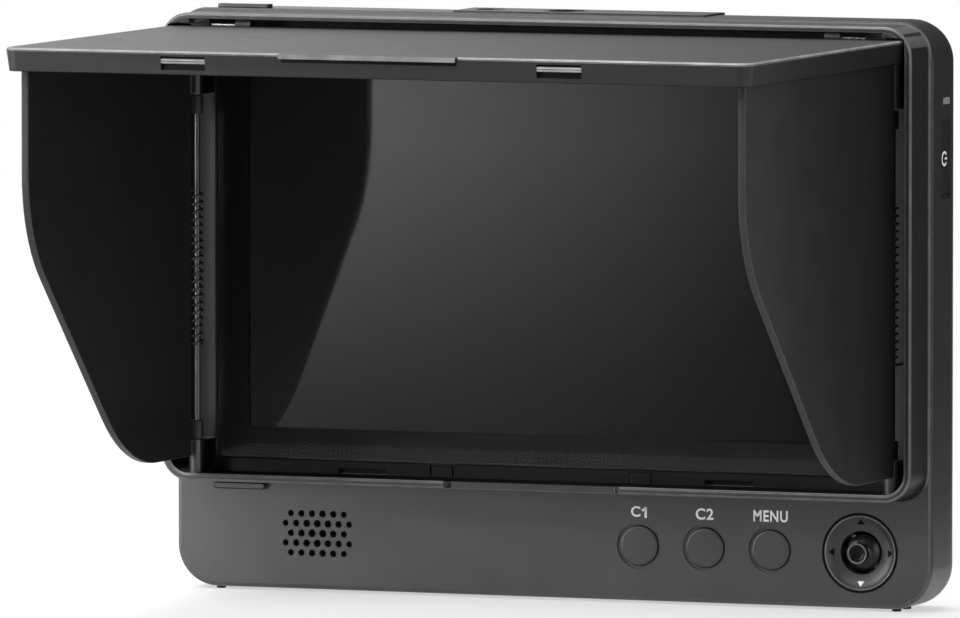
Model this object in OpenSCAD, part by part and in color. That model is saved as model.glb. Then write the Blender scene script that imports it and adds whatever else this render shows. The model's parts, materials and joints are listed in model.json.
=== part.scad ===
// Camera field monitor with a folding sun hood.
// Millimetres. The screen faces -Y, +X is to the right as seen from the front, +Z is up.
// The origin is at the mouth of the threaded hole under the body.
// Depths are written as distances behind the front face of the control strip.

/* [Body] */
// Width of the body beside the cover glass, on each side
side_margin = 8.2; // [7.8:0.1:12]
// Height of the body above the cover glass
top_margin = 4.7; // [4.4:0.1:8]
// Room behind the main board
board_room = 3.6; // [3.4:0.1:8]
// Corner radius of the body seen from the front
body_corner_r = 7.2; // [6.6:0.1:9]
// Radius along the rear edges
rear_edge_r = 6.4; // [5:0.1:6.4]
// Radius along the front edge
front_edge_r = 0.8; // [0.4:0.1:1.5]
// Wall thickness of both shells
wall = 2; // [1.6:0.1:2.4]
// Height of the control strip under the hood
strip_h = 18.9; // [18.2:0.1:21]

/* [Screen] */
// Width of the lit area
active_w = 110.7; // [100:0.1:140]
// Height of the lit area
active_h = 62.3; // [56:0.1:90]
// Dark border of the panel round the lit area
panel_border = 2.45; // [1.5:0.05:4]
// Width of the cover glass beside the panel, on each side
glass_side = 3.4; // [2.5:0.1:6]
// Height of the cover glass above and below the panel
glass_edge = 2.85; // [2.5:0.05:5]
// Gap between the strip and the cover glass
glass_rise = 3.8; // [3.6:0.1:6]
// Thickness of the cover glass
glass_t = 1; // [0.7:0.1:1.2]
// How far the cover glass stands in front of the strip
glass_proud = 2.3; // [2:0.1:2.6]

/* [Hood] */
// How far the hood frame stands in front of the strip
ring_proud = 8.9; // [8.6:0.1:11]
// Wall thickness of the hood frame
ring_wall = 1.3; // [1:0.1:1.6]
// Outer corner radius of the hood frame
ring_corner_r = 5; // [4.6:0.1:6]
// Thickness of the hood frame's base plate
ring_base_t = 1.6; // [1.2:0.1:1.8]
// Reach of the visor in front of the strip
visor_reach = 83; // [60:0.5:90]
// Height of the visor's rim
visor_rim_h = 4; // [3:0.1:5]
// Thickness of the visor plate
visor_t = 1.3; // [1:0.1:1.5]
// Thickness of the side flaps
flap_t = 1.3; // [1:0.1:1.4]
// Distance of the flaps' front edges behind the visor's rim
flap_setback = 2.05; // [1:0.05:6]
// Diameter of the flap pins
flap_pin_d = 1; // [0.8:0.1:1.2]
// Wire diameter of the flap springs
spring_wire = 0.4; // [0.3:0.05:0.5]
// Turns in each flap spring
spring_turns = 20; // [8:1:24]

/* [Controls] */
// Diameter of the button caps
button_d = 6.9; // [5:0.1:7.6]
// Distance between button centres
button_pitch = 12.02; // [11:0.1:12.6]
// Travel of the buttons
button_travel = 0.4; // [0.2:0.05:0.4]
// Height of the strip above and below the joystick's dish
dish_margin = 2.6; // [2.4:0.1:4]
// Diameter of the joystick cap
stick_cap_d = 3.6; // [3:0.1:4.2]
// Height of the power button
power_h = 12.2; // [8:0.1:13]

/* [Mounts] */
// Diameter of the stand and accessory threads
thread_d = 6.35; // [6.35:0.05:6.4]
// Depth of the threaded holes
thread_len = 7; // [5:0.1:8]
// Distance from the top thread to its locating hole
locator_pitch = 14; // [12:0.5:18]
// Diameter of the locating hole
locator_d = 5.2; // [4:0.1:5.4]

/* [Battery] */
// Width of the raised block on the back
block_w = 72; // [66:1:80]
// Height of the raised block on the back
block_h = 72; // [70:1:76]
// How far the block stands behind the shell
block_t = 4.6; // [4:0.1:7]
// Width of the battery plate
plate_w = 39; // [36:0.5:42]
// Height of the battery plate
plate_h = 62; // [60:0.5:66]
// Thickness of the battery plate
plate_t = 2.6; // [2.4:0.1:3.4]

/* [Hidden] */
// Running clearance of pins in their bores, on the radius
run_gap = 0.05;
// Clearance between neighbouring loose pieces
gap = 0.2;
// Clearance round pieces that are set into an opening
set_gap = 0.1;
eps = 0.01;
// How far plates run into the edges round them
lap = 0.05;

// Screen stack, as depths behind the strip's face
glass_front = -glass_proud;
glass_back = glass_front + glass_t;
gasket_t = 0.2;
island_front = glass_back + gasket_t;
lcd_w = active_w + 2 * panel_border;
lcd_h = active_h + 2 * panel_border;
glass_w = lcd_w + 2 * glass_side;
glass_h = lcd_h + 2 * glass_edge;
screen_mid_z = strip_h + glass_rise + glass_h / 2;
lcd_front = island_front + 0.2;
lcd_t = 1.3;
backlight_t = 2.2;
backlight_back = lcd_front + lcd_t + backlight_t;
window_gap = 0.3;
bracket_t = 0.8;
bracket_back = backlight_back + bracket_t;
socket_t = 5.2;
board_front = bracket_back + 0.6 + socket_t;
board_t = 1.2;
board_back = board_front + board_t;
chip_t = 1.1;
shield_t = 2.2;

// The body, built round the screen stack
body_w = glass_w + 2 * side_margin;
body_h = screen_mid_z + glass_h / 2 + top_margin;
body_depth = board_back + board_room + wall;
half_w = body_w / 2;
split = body_depth - rear_edge_r;
insert_r = thread_d / 2 + 0.7;
thread_depth = bracket_back + insert_r + 0.225;
face_y = -thread_depth;
bracket_w = body_w - 17.8;
bracket_h = glass_h;
board_w = body_w - 14.8;
board_low = screen_mid_z - glass_h / 2 + 4.3;
board_high = screen_mid_z + glass_h / 2 - 4.6;

// Hood frame, visor and flap places
ring_half_w = half_w - 0.65;
ring_low = strip_h + 0.06;
ring_top = body_h - 0.45;
ring_in_half = ring_half_w - ring_wall;
ring_in_low = ring_low + ring_wall;
visor_top = ring_top - 2.25;
ring_in_top = visor_top + 0.4;
slot_half = ring_in_half - 4;
slot_top = ring_top - 1;
flare_r = 0.6;
rim_chamfer = 0.3;
visor_half = ring_in_half - 0.5;
visor_draft = 0.5;
visor_wall = 1.55;
visor_low = visor_top - visor_rim_h;
visor_corner_r = 2.5;
hinge_y = ring_proud - 2.15;
hinge_z = visor_top + 0.15;
hinge_pin_r = 0.45;
hinge_knuckle_r = 0.9;
visor_back = hinge_y - hinge_knuckle_r;
hinge_out = slot_half - 0.4;
hinge_show = [hinge_out - 7.45, hinge_out - 3.05];
hinge_in = hinge_show[0] - 3;
pull_x = [-16.5, 15.2];
pull_out = 1.1;
latch_x = [-34.2, 33.2];
latch_w = 8;
clip_x = [-19.5, 17];

// Flaps: the plates lie at flap_mid from the mirror plane, and each pin has its own place,
// so that the right flap folds flat behind the left one
flap_mid = visor_half - visor_wall - 0.45 - flap_t / 2;
flap_low = ring_in_low + 2.84;
flap_top = visor_top - visor_t - 0.7;
flap_reach = visor_reach - visor_wall - flap_setback;
flap_slant = 43.7;
flap_slant_z = flap_top - 30.3;
flap_upper_r = 25;
flap_lower_r = 32;
left_pin = [1.1, hinge_y - 1.05];
right_pin = [0.35, hinge_y - 2.05];
pin_r = flap_pin_d / 2;
knuckle_r = pin_r + 0.5;
knuckle_h = 3.2;
post_r = pin_r + 1;
post_low_top = ring_in_low + 5.64;
post_high_low = visor_top - 11.9;
pin_low = ring_in_low + 1.5;
pin_high = post_high_low + 6;
flap_edge_gap = post_r + 0.4;
spring_low = post_low_top + 16.3;
spring_high = post_high_low - 16.7;
spring_r = pin_r + spring_wire / 2 + 0.15;
// Straight steps in one turn of a spring
spring_steps = 8;

// Controls
dish_d = strip_h - 2 * dish_margin;
joystick_x = half_w - 12.95;
menu_x = joystick_x - 16.24;
control_z = strip_h / 2 + 0.04;
stick_pivot = 3.9;
key_front = 4.1;
key_switch_size = 4.5;
key_board_front = 5.6;
key_board_t = 1;
key_post_d = 2.4;
speaker_x = 26.18 - half_w;
speaker_z = strip_h / 2 + 0.25;
speaker_d = 13.2;
hole_pitch = 1.97;
power_z = body_h - 23.5;
power_y = split - 2.8;
power_w = 4.2;
light_z = power_z + 9.8;
light_h = 1.2;
light_y = [split - 4, split - 0.6];

// Port bay on the left side
jack_z = board_high - 15;
jack_y = board_front - 2.8;
video_size = [11, socket_t, 14.8];
video_z = [jack_z - 30.5, jack_z - 12.5];
video_tongue_y = board_front - socket_t / 2 - 0.5;
door_low = video_z[0] - 12.5;
door_high = jack_z + 4;
door_y = [split - 6.6, split - 0.2];
door_t = 1.2;
door_axis_r = 0.7;
bay_depth = 1.5;

// Places worked out for the shells, pads and screws
boss_r = 2.2;
boss_bore_r = 0.85;
boss_places = [for (s = [-1, 1], z = [4.8, body_h - 5.2]) [s * (half_w - 4.6), z]];
boss_back = body_depth - 2.6;
screw_d = 1.6;
screw_head_d = 3.8;
screw_head_t = 1.2;
pad_top_x = [-locator_pitch - 4.8, 27.2];
pad_base_x = [-11, 11];
pad_back = thread_depth + insert_r + 0.925;
pad_h = 4.2;
pad_proud = 0.3;
catch_w = 9.6;
catch_x = body_corner_r - half_w;
block_low = [-block_w / 2, body_h / 2 - block_h / 2];
block_high = [block_w / 2, body_h / 2 + block_h / 2];
block_corner_r = 6;
plate_front = body_depth + block_t;
plate_back = plate_front + plate_t;
plate_low = [-plate_w / 2, body_h / 2 - plate_h / 2];
plate_high = [plate_w / 2, body_h / 2 + plate_h / 2];
plate_screw_places = [for (s = [-1, 1], t = [-1, 1])
    [s * (plate_w / 2 - 4), body_h / 2 + t * (plate_h / 2 - 6)]];
latch_size = [12, 8];
latch_z = plate_low.y + 9;
latch_travel = 2;
standoff_places = [for (s = [-1, 1], z = [board_low + 5, board_high - 5]) [s * (board_w / 2 - 6), z]];
key_board_x = [menu_x - 2 * button_pitch - 4.2, half_w - 7.4];
foot_places = [for (s = [-1, 1], y = [2.6, split - 2]) [s * (half_w - 7.2), y]];
foot_h = 0.5;
foot_r = 0.8;
flex_x = [-32, -8];
flex_t = 0.2;
flex_z = screen_mid_z - lcd_h / 2 - window_gap + 0.05;
flex_up = 7;
chips = [[-50, 34, 12, 12], [-30, 40, 9, 9], [-8, 36, 14, 14], [14, 40, 7, 10], [-44, 62, 8, 14],
    [-24, 62, 16, 10], [4, 64, 10, 10], [22, 66, 8, 8]];
shield_x = [board_w / 2 - 23, board_w / 2 - 5];
shield_z = [48, 70];
contact_x = [-6, 0, 6];
contact_z = body_h / 2 + plate_h / 2 - 13;

// Moves a piece from depths behind the strip's face to the part's own frame
module at_face() {
    translate([0, face_y, 0]) children();
}

// Extrudes a front view drawn in X and Z, from depth y0 to depth y1
module front_plate(y0, y1) {
    at_face() translate([0, y1, 0]) rotate([90, 0, 0]) linear_extrude(y1 - y0) children();
}

// Cylinder along the depth, centred on x and z
module depth_rod(x, z, d, y0, y1) {
    at_face() translate([x, y1, z]) rotate([90, 0, 0]) cylinder(h = y1 - y0, d = d, $fn = 48);
}

// Upright cylinder at x and depth y
module upright(x, y, z0, z1, r) {
    at_face() translate([x, y, z0]) cylinder(h = z1 - z0, r = r, $fn = 40);
}

// Box between two corners given as x, depth and z
module block(low, high) {
    at_face() translate(low) cube(high - low);
}

// Rectangle with round corners, between two corners
module round_rect(low, high, r) {
    size = high - low;
    translate(low + [r, 0]) square([size.x - 2 * r, size.y]);
    translate(low + [0, r]) square([size.x, size.y - 2 * r]);
    for (x = [low.x + r, high.x - r], z = [low.y + r, high.y - r]) {
        translate([x, z]) circle(r = r, $fn = 64);
    }
}

// Carries a wall section round a flat rectangle with round corners. The section is drawn with
// the distance out from the corner's centre to the right, and the height upward.
module loop_wall(low, high, r) {
    size = high - low - [2 * r, 2 * r];
    corners = [[high.x - r, high.y - r], [low.x + r, high.y - r], [low.x + r, low.y + r],
        [high.x - r, low.y + r]];
    for (i = [0:3]) {
        run = i % 2 == 0 ? size.x : size.y;
        translate(corners[i]) rotate([0, 0, 90 * i]) {
            rotate_extrude(angle = 90, $fn = 64) children();
            translate([-run, 0, 0]) rotate([90, 0, 90]) linear_extrude(run) children();
        }
    }
}

// The flat part inside the loop's corner circles, run a little way into it
module inner_rect(low, high, r) {
    inset = [r - lap, r - lap];
    translate(low + inset) square(high - low - 2 * inset);
}

// The same loop, standing upright and facing forward, with the section's height measured forward of y0
module front_loop(low, high, r, y0) {
    at_face() translate([0, y0, 0]) rotate([90, 0, 0]) loop_wall(low, high, r) children();
}

// Rectangle seen from the front, centred on the screen
module screen_rect(w, h, r = 0) {
    low = [-w / 2, screen_mid_z - h / 2];
    if (r > 0) round_rect(low, -low + [0, 2 * screen_mid_z], r);
    else translate(low) square([w, h]);
}

// Cuts for the strip's speaker holes: five rows of six and seven in turn
module speaker_holes() {
    for (row = [-2:2]) {
        count = row % 2 == 0 ? 6 : 7;
        for (k = [0:count - 1]) {
            x = (k - (count - 1) / 2) * hole_pitch;
            z = row * hole_pitch * sin(60);
            d = 1.4 - 0.05 * norm([x, z]);
            depth_rod(speaker_x + x, speaker_z + z, d, -1, wall + 1);
        }
    }
}

module front_housing() color("#3c3c40") difference() {
    union() {
        front_loop([-half_w, 0], [half_w, body_h], body_corner_r, split) difference() {
            union() {
                square([body_corner_r, split - front_edge_r]);
                square([body_corner_r - front_edge_r, split]);
                translate([body_corner_r - front_edge_r, split - front_edge_r])
                    circle(r = front_edge_r, $fn = 32);
            }
            square([body_corner_r - wall, split - wall]);
        }
        front_plate(0, wall) inner_rect([-half_w, 0], [half_w, body_h], body_corner_r);
        front_plate(island_front, wall) screen_rect(glass_w - 0.2, glass_h - 0.2, 1.4);
        for (place = boss_places) depth_rod(place.x, place.y, 2 * boss_r, wall - 0.2, split - 0.1);
        block([pad_top_x[0], wall, body_h - pad_h], [pad_top_x[1], pad_back, body_h + pad_proud]);
        block([pad_base_x[0], wall, 0], [pad_base_x[1], pad_back, pad_h]);
        bay_frame();
        for (x = key_post_x()) depth_rod(x, control_z, key_post_d, wall - 0.2, key_board_front);
    }
    front_plate(island_front - 1, wall + 1)
        screen_rect(lcd_w + 2 * window_gap, lcd_h + 2 * window_gap);
    for (place = boss_places) depth_rod(place.x, place.y, 2 * boss_bore_r, wall + 0.4, split + 1);
    speaker_holes();
    for (i = [0:2]) {
        depth_rod(button_x(i), control_z, button_d + 0.2, -1, wall + 1);
        depth_rod(button_x(i), control_z, button_d + 1.1, -1, 0.35);
    }
    depth_rod(joystick_x, control_z, dish_d + 0.1, -1, wall + 1);
    threads(thread_len, insert_r + set_gap);
    at_face() translate([-locator_pitch, thread_depth, body_h + pad_proud - 3])
        cylinder(h = 4, d = locator_d, $fn = 48);
    block([half_w - wall - 1, power_y - power_w / 2 - set_gap, power_z - power_h / 2 - set_gap],
        [half_w + 1, power_y + power_w / 2 + set_gap, power_z + power_h / 2 + set_gap]);
    block([half_w - 0.6, power_y - power_w / 2 - 0.15, power_z - power_h / 2 - 0.7],
        [half_w + 1, power_y + power_w / 2 + 0.15, power_z + power_h / 2 + 0.7]);
    block([half_w - wall - 1, light_y[0] - set_gap, light_z - light_h / 2 - set_gap],
        [half_w + 1, light_y[1] + set_gap, light_z + light_h / 2 + set_gap]);
    port_bay_cut();
}

// Cuts both thread inserts' seats, of radius r, this deep from their mouths
module threads(depth, r) {
    at_face() translate([0, thread_depth, -1]) cylinder(h = depth + 1, r = r, $fn = 48);
    at_face() translate([0, thread_depth, body_h + pad_proud - depth])
        cylinder(h = depth + 1, r = r, $fn = 48);
}

// Thickened wall behind the port bay
module bay_frame() {
    block([-half_w + 0.5, door_y[0] - 0.9, door_low - 1.2], [-half_w + wall + 0.6, split - 0.1,
        door_high + 1.2]);
}

// The bay that the port cover closes, and the openings of the sockets inside it
module port_bay_cut() {
    block([-half_w - 1, door_y[0] - gap, door_low], [-half_w + bay_depth, door_y[1] + gap / 2,
        door_high]);
    for (z = video_z) {
        block([-half_w, board_front - video_size.y - set_gap, z - video_size.z / 2 - set_gap],
            [-half_w + wall + 1, board_front + set_gap, z + video_size.z / 2 + set_gap]);
    }
    jack_rod(0, wall + 1, 2.6);
    upright(door_axis_r - half_w, door_y[0] + door_axis_r, door_low - 0.9, door_high + 0.9,
        0.35 + run_gap);
}

module rear_housing() color("#38383c") difference() {
    union() {
        front_loop([-half_w, 0], [half_w, body_h], body_corner_r, body_depth) rear_section();
        front_plate(body_depth - wall, body_depth)
            inner_rect([-half_w, 0], [half_w, body_h], body_corner_r);
        front_loop(block_low, block_high, block_corner_r, plate_front) block_section();
        front_plate(body_depth - 0.5, plate_front)
            inner_rect(block_low, block_high, block_corner_r);
        for (place = boss_places) depth_rod(place.x, place.y, 2 * boss_r, split, boss_back);
    }
    front_plate(body_depth - wall - 1, plate_front - wall)
        round_rect(block_low + [wall, wall], block_high - [wall, wall], block_corner_r - wall);
    block([pad_top_x[0] - set_gap, split - 1, body_h - pad_h - set_gap],
        [pad_top_x[1] + set_gap, pad_back + set_gap, body_h + 1]);
    block([pad_base_x[0] - set_gap, split - 1, -1],
        [pad_base_x[1] + set_gap, pad_back + set_gap, pad_h + set_gap]);
    for (place = boss_places) {
        depth_rod(place.x, place.y, screw_d + 0.4, split - 1, body_depth + 1);
        depth_rod(place.x, place.y, screw_head_d + 0.3, boss_back - 0.8, body_depth + 1);
    }
    for (place = plate_screw_places) {
        depth_rod(place.x, place.y, screw_d + 0.1, body_depth + 1, plate_front + 1);
    }
}

// Wall section of the rear shell, from the rear face forward to the split
module rear_section() {
    flat = body_corner_r - rear_edge_r;
    difference() {
        union() {
            square([flat, rear_edge_r]);
            translate([flat, rear_edge_r]) intersection() {
                circle(r = rear_edge_r, $fn = 96);
                translate([0, -rear_edge_r]) square(rear_edge_r);
            }
        }
        translate([flat, rear_edge_r]) circle(r = rear_edge_r - wall, $fn = 96);
        translate([-1, wall]) square([flat + 1 + eps, rear_edge_r]);
    }
}

// Edge section of the raised block, its rear corner cut at 45 degrees
module block_section() {
    r = block_corner_r;
    bevel = 1.2;
    polygon([[0, 0], [r - bevel, 0], [r, bevel], [r, block_t + 0.5], [0, block_t + 0.5]]);
}

// Opening of the hood frame: its lower corners follow the rim, its upper ones are nearly square
// for the visor, and a slot above lets the visor's hinge in
module ring_opening() {
    low = [-ring_in_half, ring_in_low];
    high = [ring_in_half, ring_in_top];
    round_rect(low, high, ring_corner_r - ring_wall);
    round_rect([low.x, screen_mid_z], high, 0.8);
    translate([-slot_half, screen_mid_z]) square([2 * slot_half, slot_top - screen_mid_z]);
}

module ring_outline(inset) {
    round_rect([inset - ring_half_w, ring_low + inset], [ring_half_w - inset, ring_top - inset],
        ring_corner_r - inset);
}

// One bearing post of a flap pin: a round head and a foot on the frame's base plate
module pin_post(x, y, z0, z1) {
    upright(x, -y, z0, z1, post_r);
    block([x - post_r, -y, z0], [x + post_r, -ring_base_t + 0.2, z1]);
}

// Distance of a flap pin from the mirror plane
function pin_x(pin) = flap_mid - pin[0];

module hood_frame() color("#444448") difference() {
    union() {
        difference() {
            union() {
                front_loop([-ring_half_w, ring_low], [ring_half_w, ring_top], ring_corner_r, 0)
                    rim_section();
                front_plate(-ring_proud + 0.2, 0) ring_outline(rim_chamfer);
            }
            front_plate(-ring_proud - 1, -ring_base_t) ring_opening();
            front_plate(-ring_base_t - 1, 1) screen_rect(glass_w + 0.3, glass_h + 0.3, 1.5);
            finger_recess();
            for (x = latch_x) {
                block([x - 4.5, -ring_base_t - 1, ring_in_low], [x + 4.5, -0.5, ring_in_low + 1]);
            }
            for (x = clip_x) clip_groove(x);
        }
        for (side = [[-1, left_pin], [1, right_pin]]) {
            x = side[0] * pin_x(side[1]);
            pin_post(x, side[1][1], ring_in_low - 0.5, post_low_top);
            pin_post(x, side[1][1], post_high_low, visor_top - visor_t - 0.4);
        }
        for (s = [0, 1]) mirror([s, 0, 0]) hinge_ear();
    }
    for (side = [[-1, left_pin], [1, right_pin]]) {
        x = side[0] * pin_x(side[1]);
        upright(x, -side[1][1], pin_low - 0.1, pin_high + 0.1, pin_r + run_gap);
    }
    for (s = [0, 1]) mirror([s, 0, 0]) hinge_bore(hinge_show[1] - 1, hinge_out + 0.1);
}

// Section of the hood frame's wall: a bevelled rim in front and a small fillet at its foot
module rim_section() {
    r = ring_corner_r;
    union() {
        polygon([[r - ring_wall, 0], [r, 0], [r, ring_proud - rim_chamfer],
            [r - rim_chamfer, ring_proud], [r - ring_wall + rim_chamfer, ring_proud],
            [r - ring_wall, ring_proud - rim_chamfer]]);
        difference() {
            translate([r - 0.2, 0]) square([flare_r + 0.2, flare_r]);
            translate([r + flare_r, flare_r]) circle(r = flare_r, $fn = 48);
        }
    }
}

// Recess in the lower rim for a finger on the visor's pull, with slanted ends
module finger_recess() {
    at_face() translate([0, 0, ring_low - 1]) linear_extrude(ring_wall + 1.2)
        polygon([[-16.6, -ring_proud - eps], [-15.4, 1 - ring_proud], [14.8, 1 - ring_proud],
            [16, -ring_proud - eps]]);
}

// Narrow groove on three sides of a clip tab in the base plate
module clip_groove(x) {
    difference() {
        block([x - 2.2, -ring_base_t - 1, ring_in_low], [x + 2.2, -ring_base_t + 0.6,
            ring_in_low + 2.1]);
        block([x - 1.9, -ring_base_t - 2, ring_in_low - 1], [x + 1.9, 0, ring_in_low + 1.8]);
    }
}

// Round rod along X at the visor's hinge
module hinge_rod(x0, x1, r) {
    at_face() translate([x0, -hinge_y, hinge_z]) rotate([0, 90, 0])
        cylinder(h = x1 - x0, r = r, $fn = 40);
}

module hinge_ear() {
    end = slot_half + gap;
    hinge_rod(hinge_show[1], end, hinge_knuckle_r);
    block([hinge_show[1], -hinge_y - hinge_knuckle_r, hinge_z],
        [end, -hinge_y + hinge_knuckle_r, slot_top + gap]);
}

module hinge_bore(x0, x1) {
    hinge_rod(x0, x1, hinge_pin_r + run_gap);
}

module hood_catches() color("#46464a") {
    front_plate(-1, 0)
        round_rect([catch_x, ring_low - 1.85], [catch_x + catch_w, ring_low - 0.75], 0.5);
    at_face() translate([0, 0, body_h]) linear_extrude(0.7)
        round_rect([catch_x, 1], [catch_x + catch_w, 3.2], 0.5);
}

module visor() color("#404044") {
    visor_shell();
    for (x = latch_x) {
        at_face() translate([x - latch_w / 2 - 0.2, 0.7 - visor_reach, visor_low + 2.3])
            rotate([0, 90, 0]) cylinder(h = latch_w + 0.4, r = 0.45, $fn = 32);
    }
}

// The visor plate with its rim, hinge knuckles, pull and the pockets of its two latch bars
module visor_shell() difference() {
    union() {
        at_face() translate([0, 0, visor_low])
            loop_wall([-visor_half, -visor_reach], [visor_half, visor_reach], visor_corner_r)
                visor_section();
        at_face() translate([0, 0, visor_top - visor_t]) linear_extrude(visor_t)
            inner_rect([-visor_half, -visor_reach], [visor_half, visor_reach], visor_corner_r);
        block([pull_x[0], -visor_reach - pull_out, visor_top - 0.85],
            [pull_x[1], -visor_reach + 0.5, visor_top]);
        for (s = [0, 1]) mirror([s, 0, 0])
            hinge_rod(hinge_in, hinge_show[0] - gap, hinge_knuckle_r);
    }
    block([-body_w, -visor_back, 0], [body_w, visor_reach + body_w, body_h]);
    block([-body_w, -visor_back - 1.3, 0], [body_w, visor_reach + body_w, visor_top - visor_t]);
    for (s = [0, 1]) mirror([s, 0, 0]) {
        hinge_bore(hinge_in + 0.3, hinge_show[0]);
        block([hinge_show[0] - gap, -hinge_y - hinge_knuckle_r - 0.3, 0],
            [slot_half + 2 * gap, 0, body_h]);
    }
    for (x = latch_x) {
        block([x - latch_w / 2, -visor_reach - 1, visor_low + 0.8],
            [x + latch_w / 2, 0.9 - visor_reach, visor_low + 3.1]);
    }
}

// Section of the visor's rim, its outside leaning in below, and the plate above it
module visor_section() {
    r = visor_corner_r;
    edge = 0.4;
    union() {
        polygon([[r - visor_wall, 0], [r - visor_draft, 0], [r, visor_rim_h - edge],
            [0, visor_rim_h - edge], [0, visor_rim_h - visor_t], [r - visor_wall, visor_rim_h - visor_t]]);
        translate([0, visor_rim_h - visor_t]) square([r - edge, visor_t]);
        translate([r - edge, visor_rim_h - edge]) circle(r = edge, $fn = 32);
    }
}

module visor_hinge_pins() color("#b9babf") {
    for (s = [0, 1]) mirror([s, 0, 0]) hinge_rod(hinge_in + 0.4, hinge_out - 0.2, hinge_pin_r);
}

// Points of an arc round centre c
function arc(c, r, a0, a1, n = 10) =
    [for (i = [0:n]) c + r * [cos(a0 + (a1 - a0) * i / n), sin(a0 + (a1 - a0) * i / n)]];

// Outline of a flap as reach in front of the strip and height: a straight front edge above,
// a slanted one below, and large fillets where they meet each other and the lower edge
function flap_outline(back) =
    let (
        t = [cos(flap_slant), sin(flap_slant)],
        upper = [flap_reach - flap_upper_r,
            flap_slant_z + flap_upper_r * tan((90 - flap_slant) / 2)],
        foot = [flap_reach - (flap_slant_z - flap_low) / tan(flap_slant), flap_low],
        lower = [foot.x - flap_lower_r * tan(flap_slant / 2), flap_low + flap_lower_r]
    )
    concat([[back, flap_top], [back, flap_low]],
        arc(lower, flap_lower_r, -90, flap_slant - 90),
        arc(upper, flap_upper_r, flap_slant - 90, 0),
        [[flap_reach, flap_top - 0.6], [flap_reach - 0.6, flap_top]]);

// Flap in its own place on side s, -1 for left and 1 for right, with its knuckles on the pin
module flap(s, pin) {
    back = pin[1] + flap_edge_gap;
    low_knuckle = post_low_top + gap;
    high_knuckle = post_high_low - gap - knuckle_h;
    difference() {
        union() {
            at_face() translate([s * flap_mid - flap_t / 2, 0, 0]) rotate([90, 0, 90])
                linear_extrude(flap_t) mirror([1, 0]) polygon(flap_outline(back));
            for (z = [low_knuckle, high_knuckle]) {
                upright(s * pin_x(pin), -pin[1], z, z + knuckle_h, knuckle_r);
                block([s * flap_mid - flap_t / 2, -back - 0.2, z],
                    [s * flap_mid + flap_t / 2, -pin[1], z + knuckle_h]);
            }
        }
        for (z = [low_knuckle, high_knuckle]) {
            upright(s * pin_x(pin), -pin[1], z - 0.1, z + knuckle_h + 0.1, pin_r + run_gap);
        }
    }
}

module left_flap() color("#2e2e31") flap(-1, left_pin);

module right_flap() color("#2e2e31") flap(1, right_pin);

module flap_pin(s, pin) {
    upright(s * pin_x(pin), -pin[1], pin_low, pin_high, pin_r);
}

module left_flap_pin() color("#a9aab0") flap_pin(-1, left_pin);

module right_flap_pin() color("#a9aab0") flap_pin(1, right_pin);

// Wire path of a flap spring round the pin's axis, for side s. The lower leg comes forward from
// the frame's base plate, and the upper leg goes forward to the flap's back edge.
function spring_path(s, pin) =
    let (
        turns = spring_turns,
        rise = (spring_high - spring_low) / turns / spring_steps,
        side = s * spring_r,
        rear_leg = pin[1] - ring_base_t - 0.05,
        front_leg = flap_edge_gap - 0.05
    )
    concat([[side, rear_leg, spring_low], [side, rear_leg / 2, spring_low]],
        [for (i = [0:turns * spring_steps])
            let (a = 360 * i / spring_steps)
            [side * cos(a), -spring_r * sin(a), spring_low + rise * i]],
        [[side, -front_leg / 2, spring_high], [side, -front_leg, spring_high]]);

// Least distance between the wire of neighbouring turns, measured on the path's points
function coil_gap(path, wire) =
    min([for (i = [0:len(path) - 1], j = [i + spring_steps - 2:i + spring_steps + 2])
        if (j < len(path)) norm(path[i] - path[j]) - wire]);

// Closed tube of six sides along a path that never runs straight up
module wire_tube(path, r) {
    sides = 6;
    n = len(path);
    rings = [for (i = [0:n - 1])
        let (
            ahead = path[min(i + 1, n - 1)] - path[max(i - 1, 0)],
            t = ahead / norm(ahead),
            out = cross(t, [0, 0, 1]),
            u = out / norm(out),
            v = cross(u, t)
        )
        for (k = [0:sides - 1]) path[i] + r * (u * cos(60 * k) + v * sin(60 * k))];
    walls = [for (i = [0:n - 2], k = [0:sides - 1])
        let (a = i * sides + k, b = i * sides + (k + 1) % sides)
        each [[a, b, a + sides], [b, b + sides, a + sides]]];
    ends = [for (k = [1:sides - 2]) each [[0, k + 1, k],
        [(n - 1) * sides, (n - 1) * sides + k, (n - 1) * sides + k + 1]]];
    polyhedron(points = rings, faces = [for (f = concat(walls, ends)) [f[0], f[2], f[1]]]);
}

module flap_spring(s, pin) {
    path = spring_path(s, pin);
    echo(str("least gap between spring turns ", coil_gap(path, spring_wire)));
    at_face() translate([s * pin_x(pin), -pin[1], 0]) wire_tube(path, spring_wire / 2);
}

module left_flap_spring() color("#c4c5ca") flap_spring(-1, left_pin);

module right_flap_spring() color("#c4c5ca") flap_spring(1, right_pin);

module cover_glass() color("#101114") {
    r = 1.5;
    bevel = 0.25;
    low = [-glass_w / 2, screen_mid_z - glass_h / 2];
    high = [glass_w / 2, screen_mid_z + glass_h / 2];
    front_loop(low, high, r, glass_back)
        polygon([[0, 0], [r, 0], [r, glass_t - bevel], [r - bevel, glass_t], [0, glass_t]]);
    front_plate(glass_front, glass_back) inner_rect(low, high, r);
}

module glass_gasket() color("#161616") front_plate(glass_back, island_front) difference() {
    screen_rect(glass_w - 0.8, glass_h - 0.8, 1.2);
    screen_rect(lcd_w + 2 * window_gap, lcd_h + 2 * window_gap);
}

module lcd_panel() color("#22262c")
    front_plate(lcd_front, lcd_front + lcd_t) screen_rect(lcd_w, lcd_h);

module backlight() color("#d8d8d4")
    front_plate(lcd_front + lcd_t, backlight_back) screen_rect(lcd_w, lcd_h);

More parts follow.
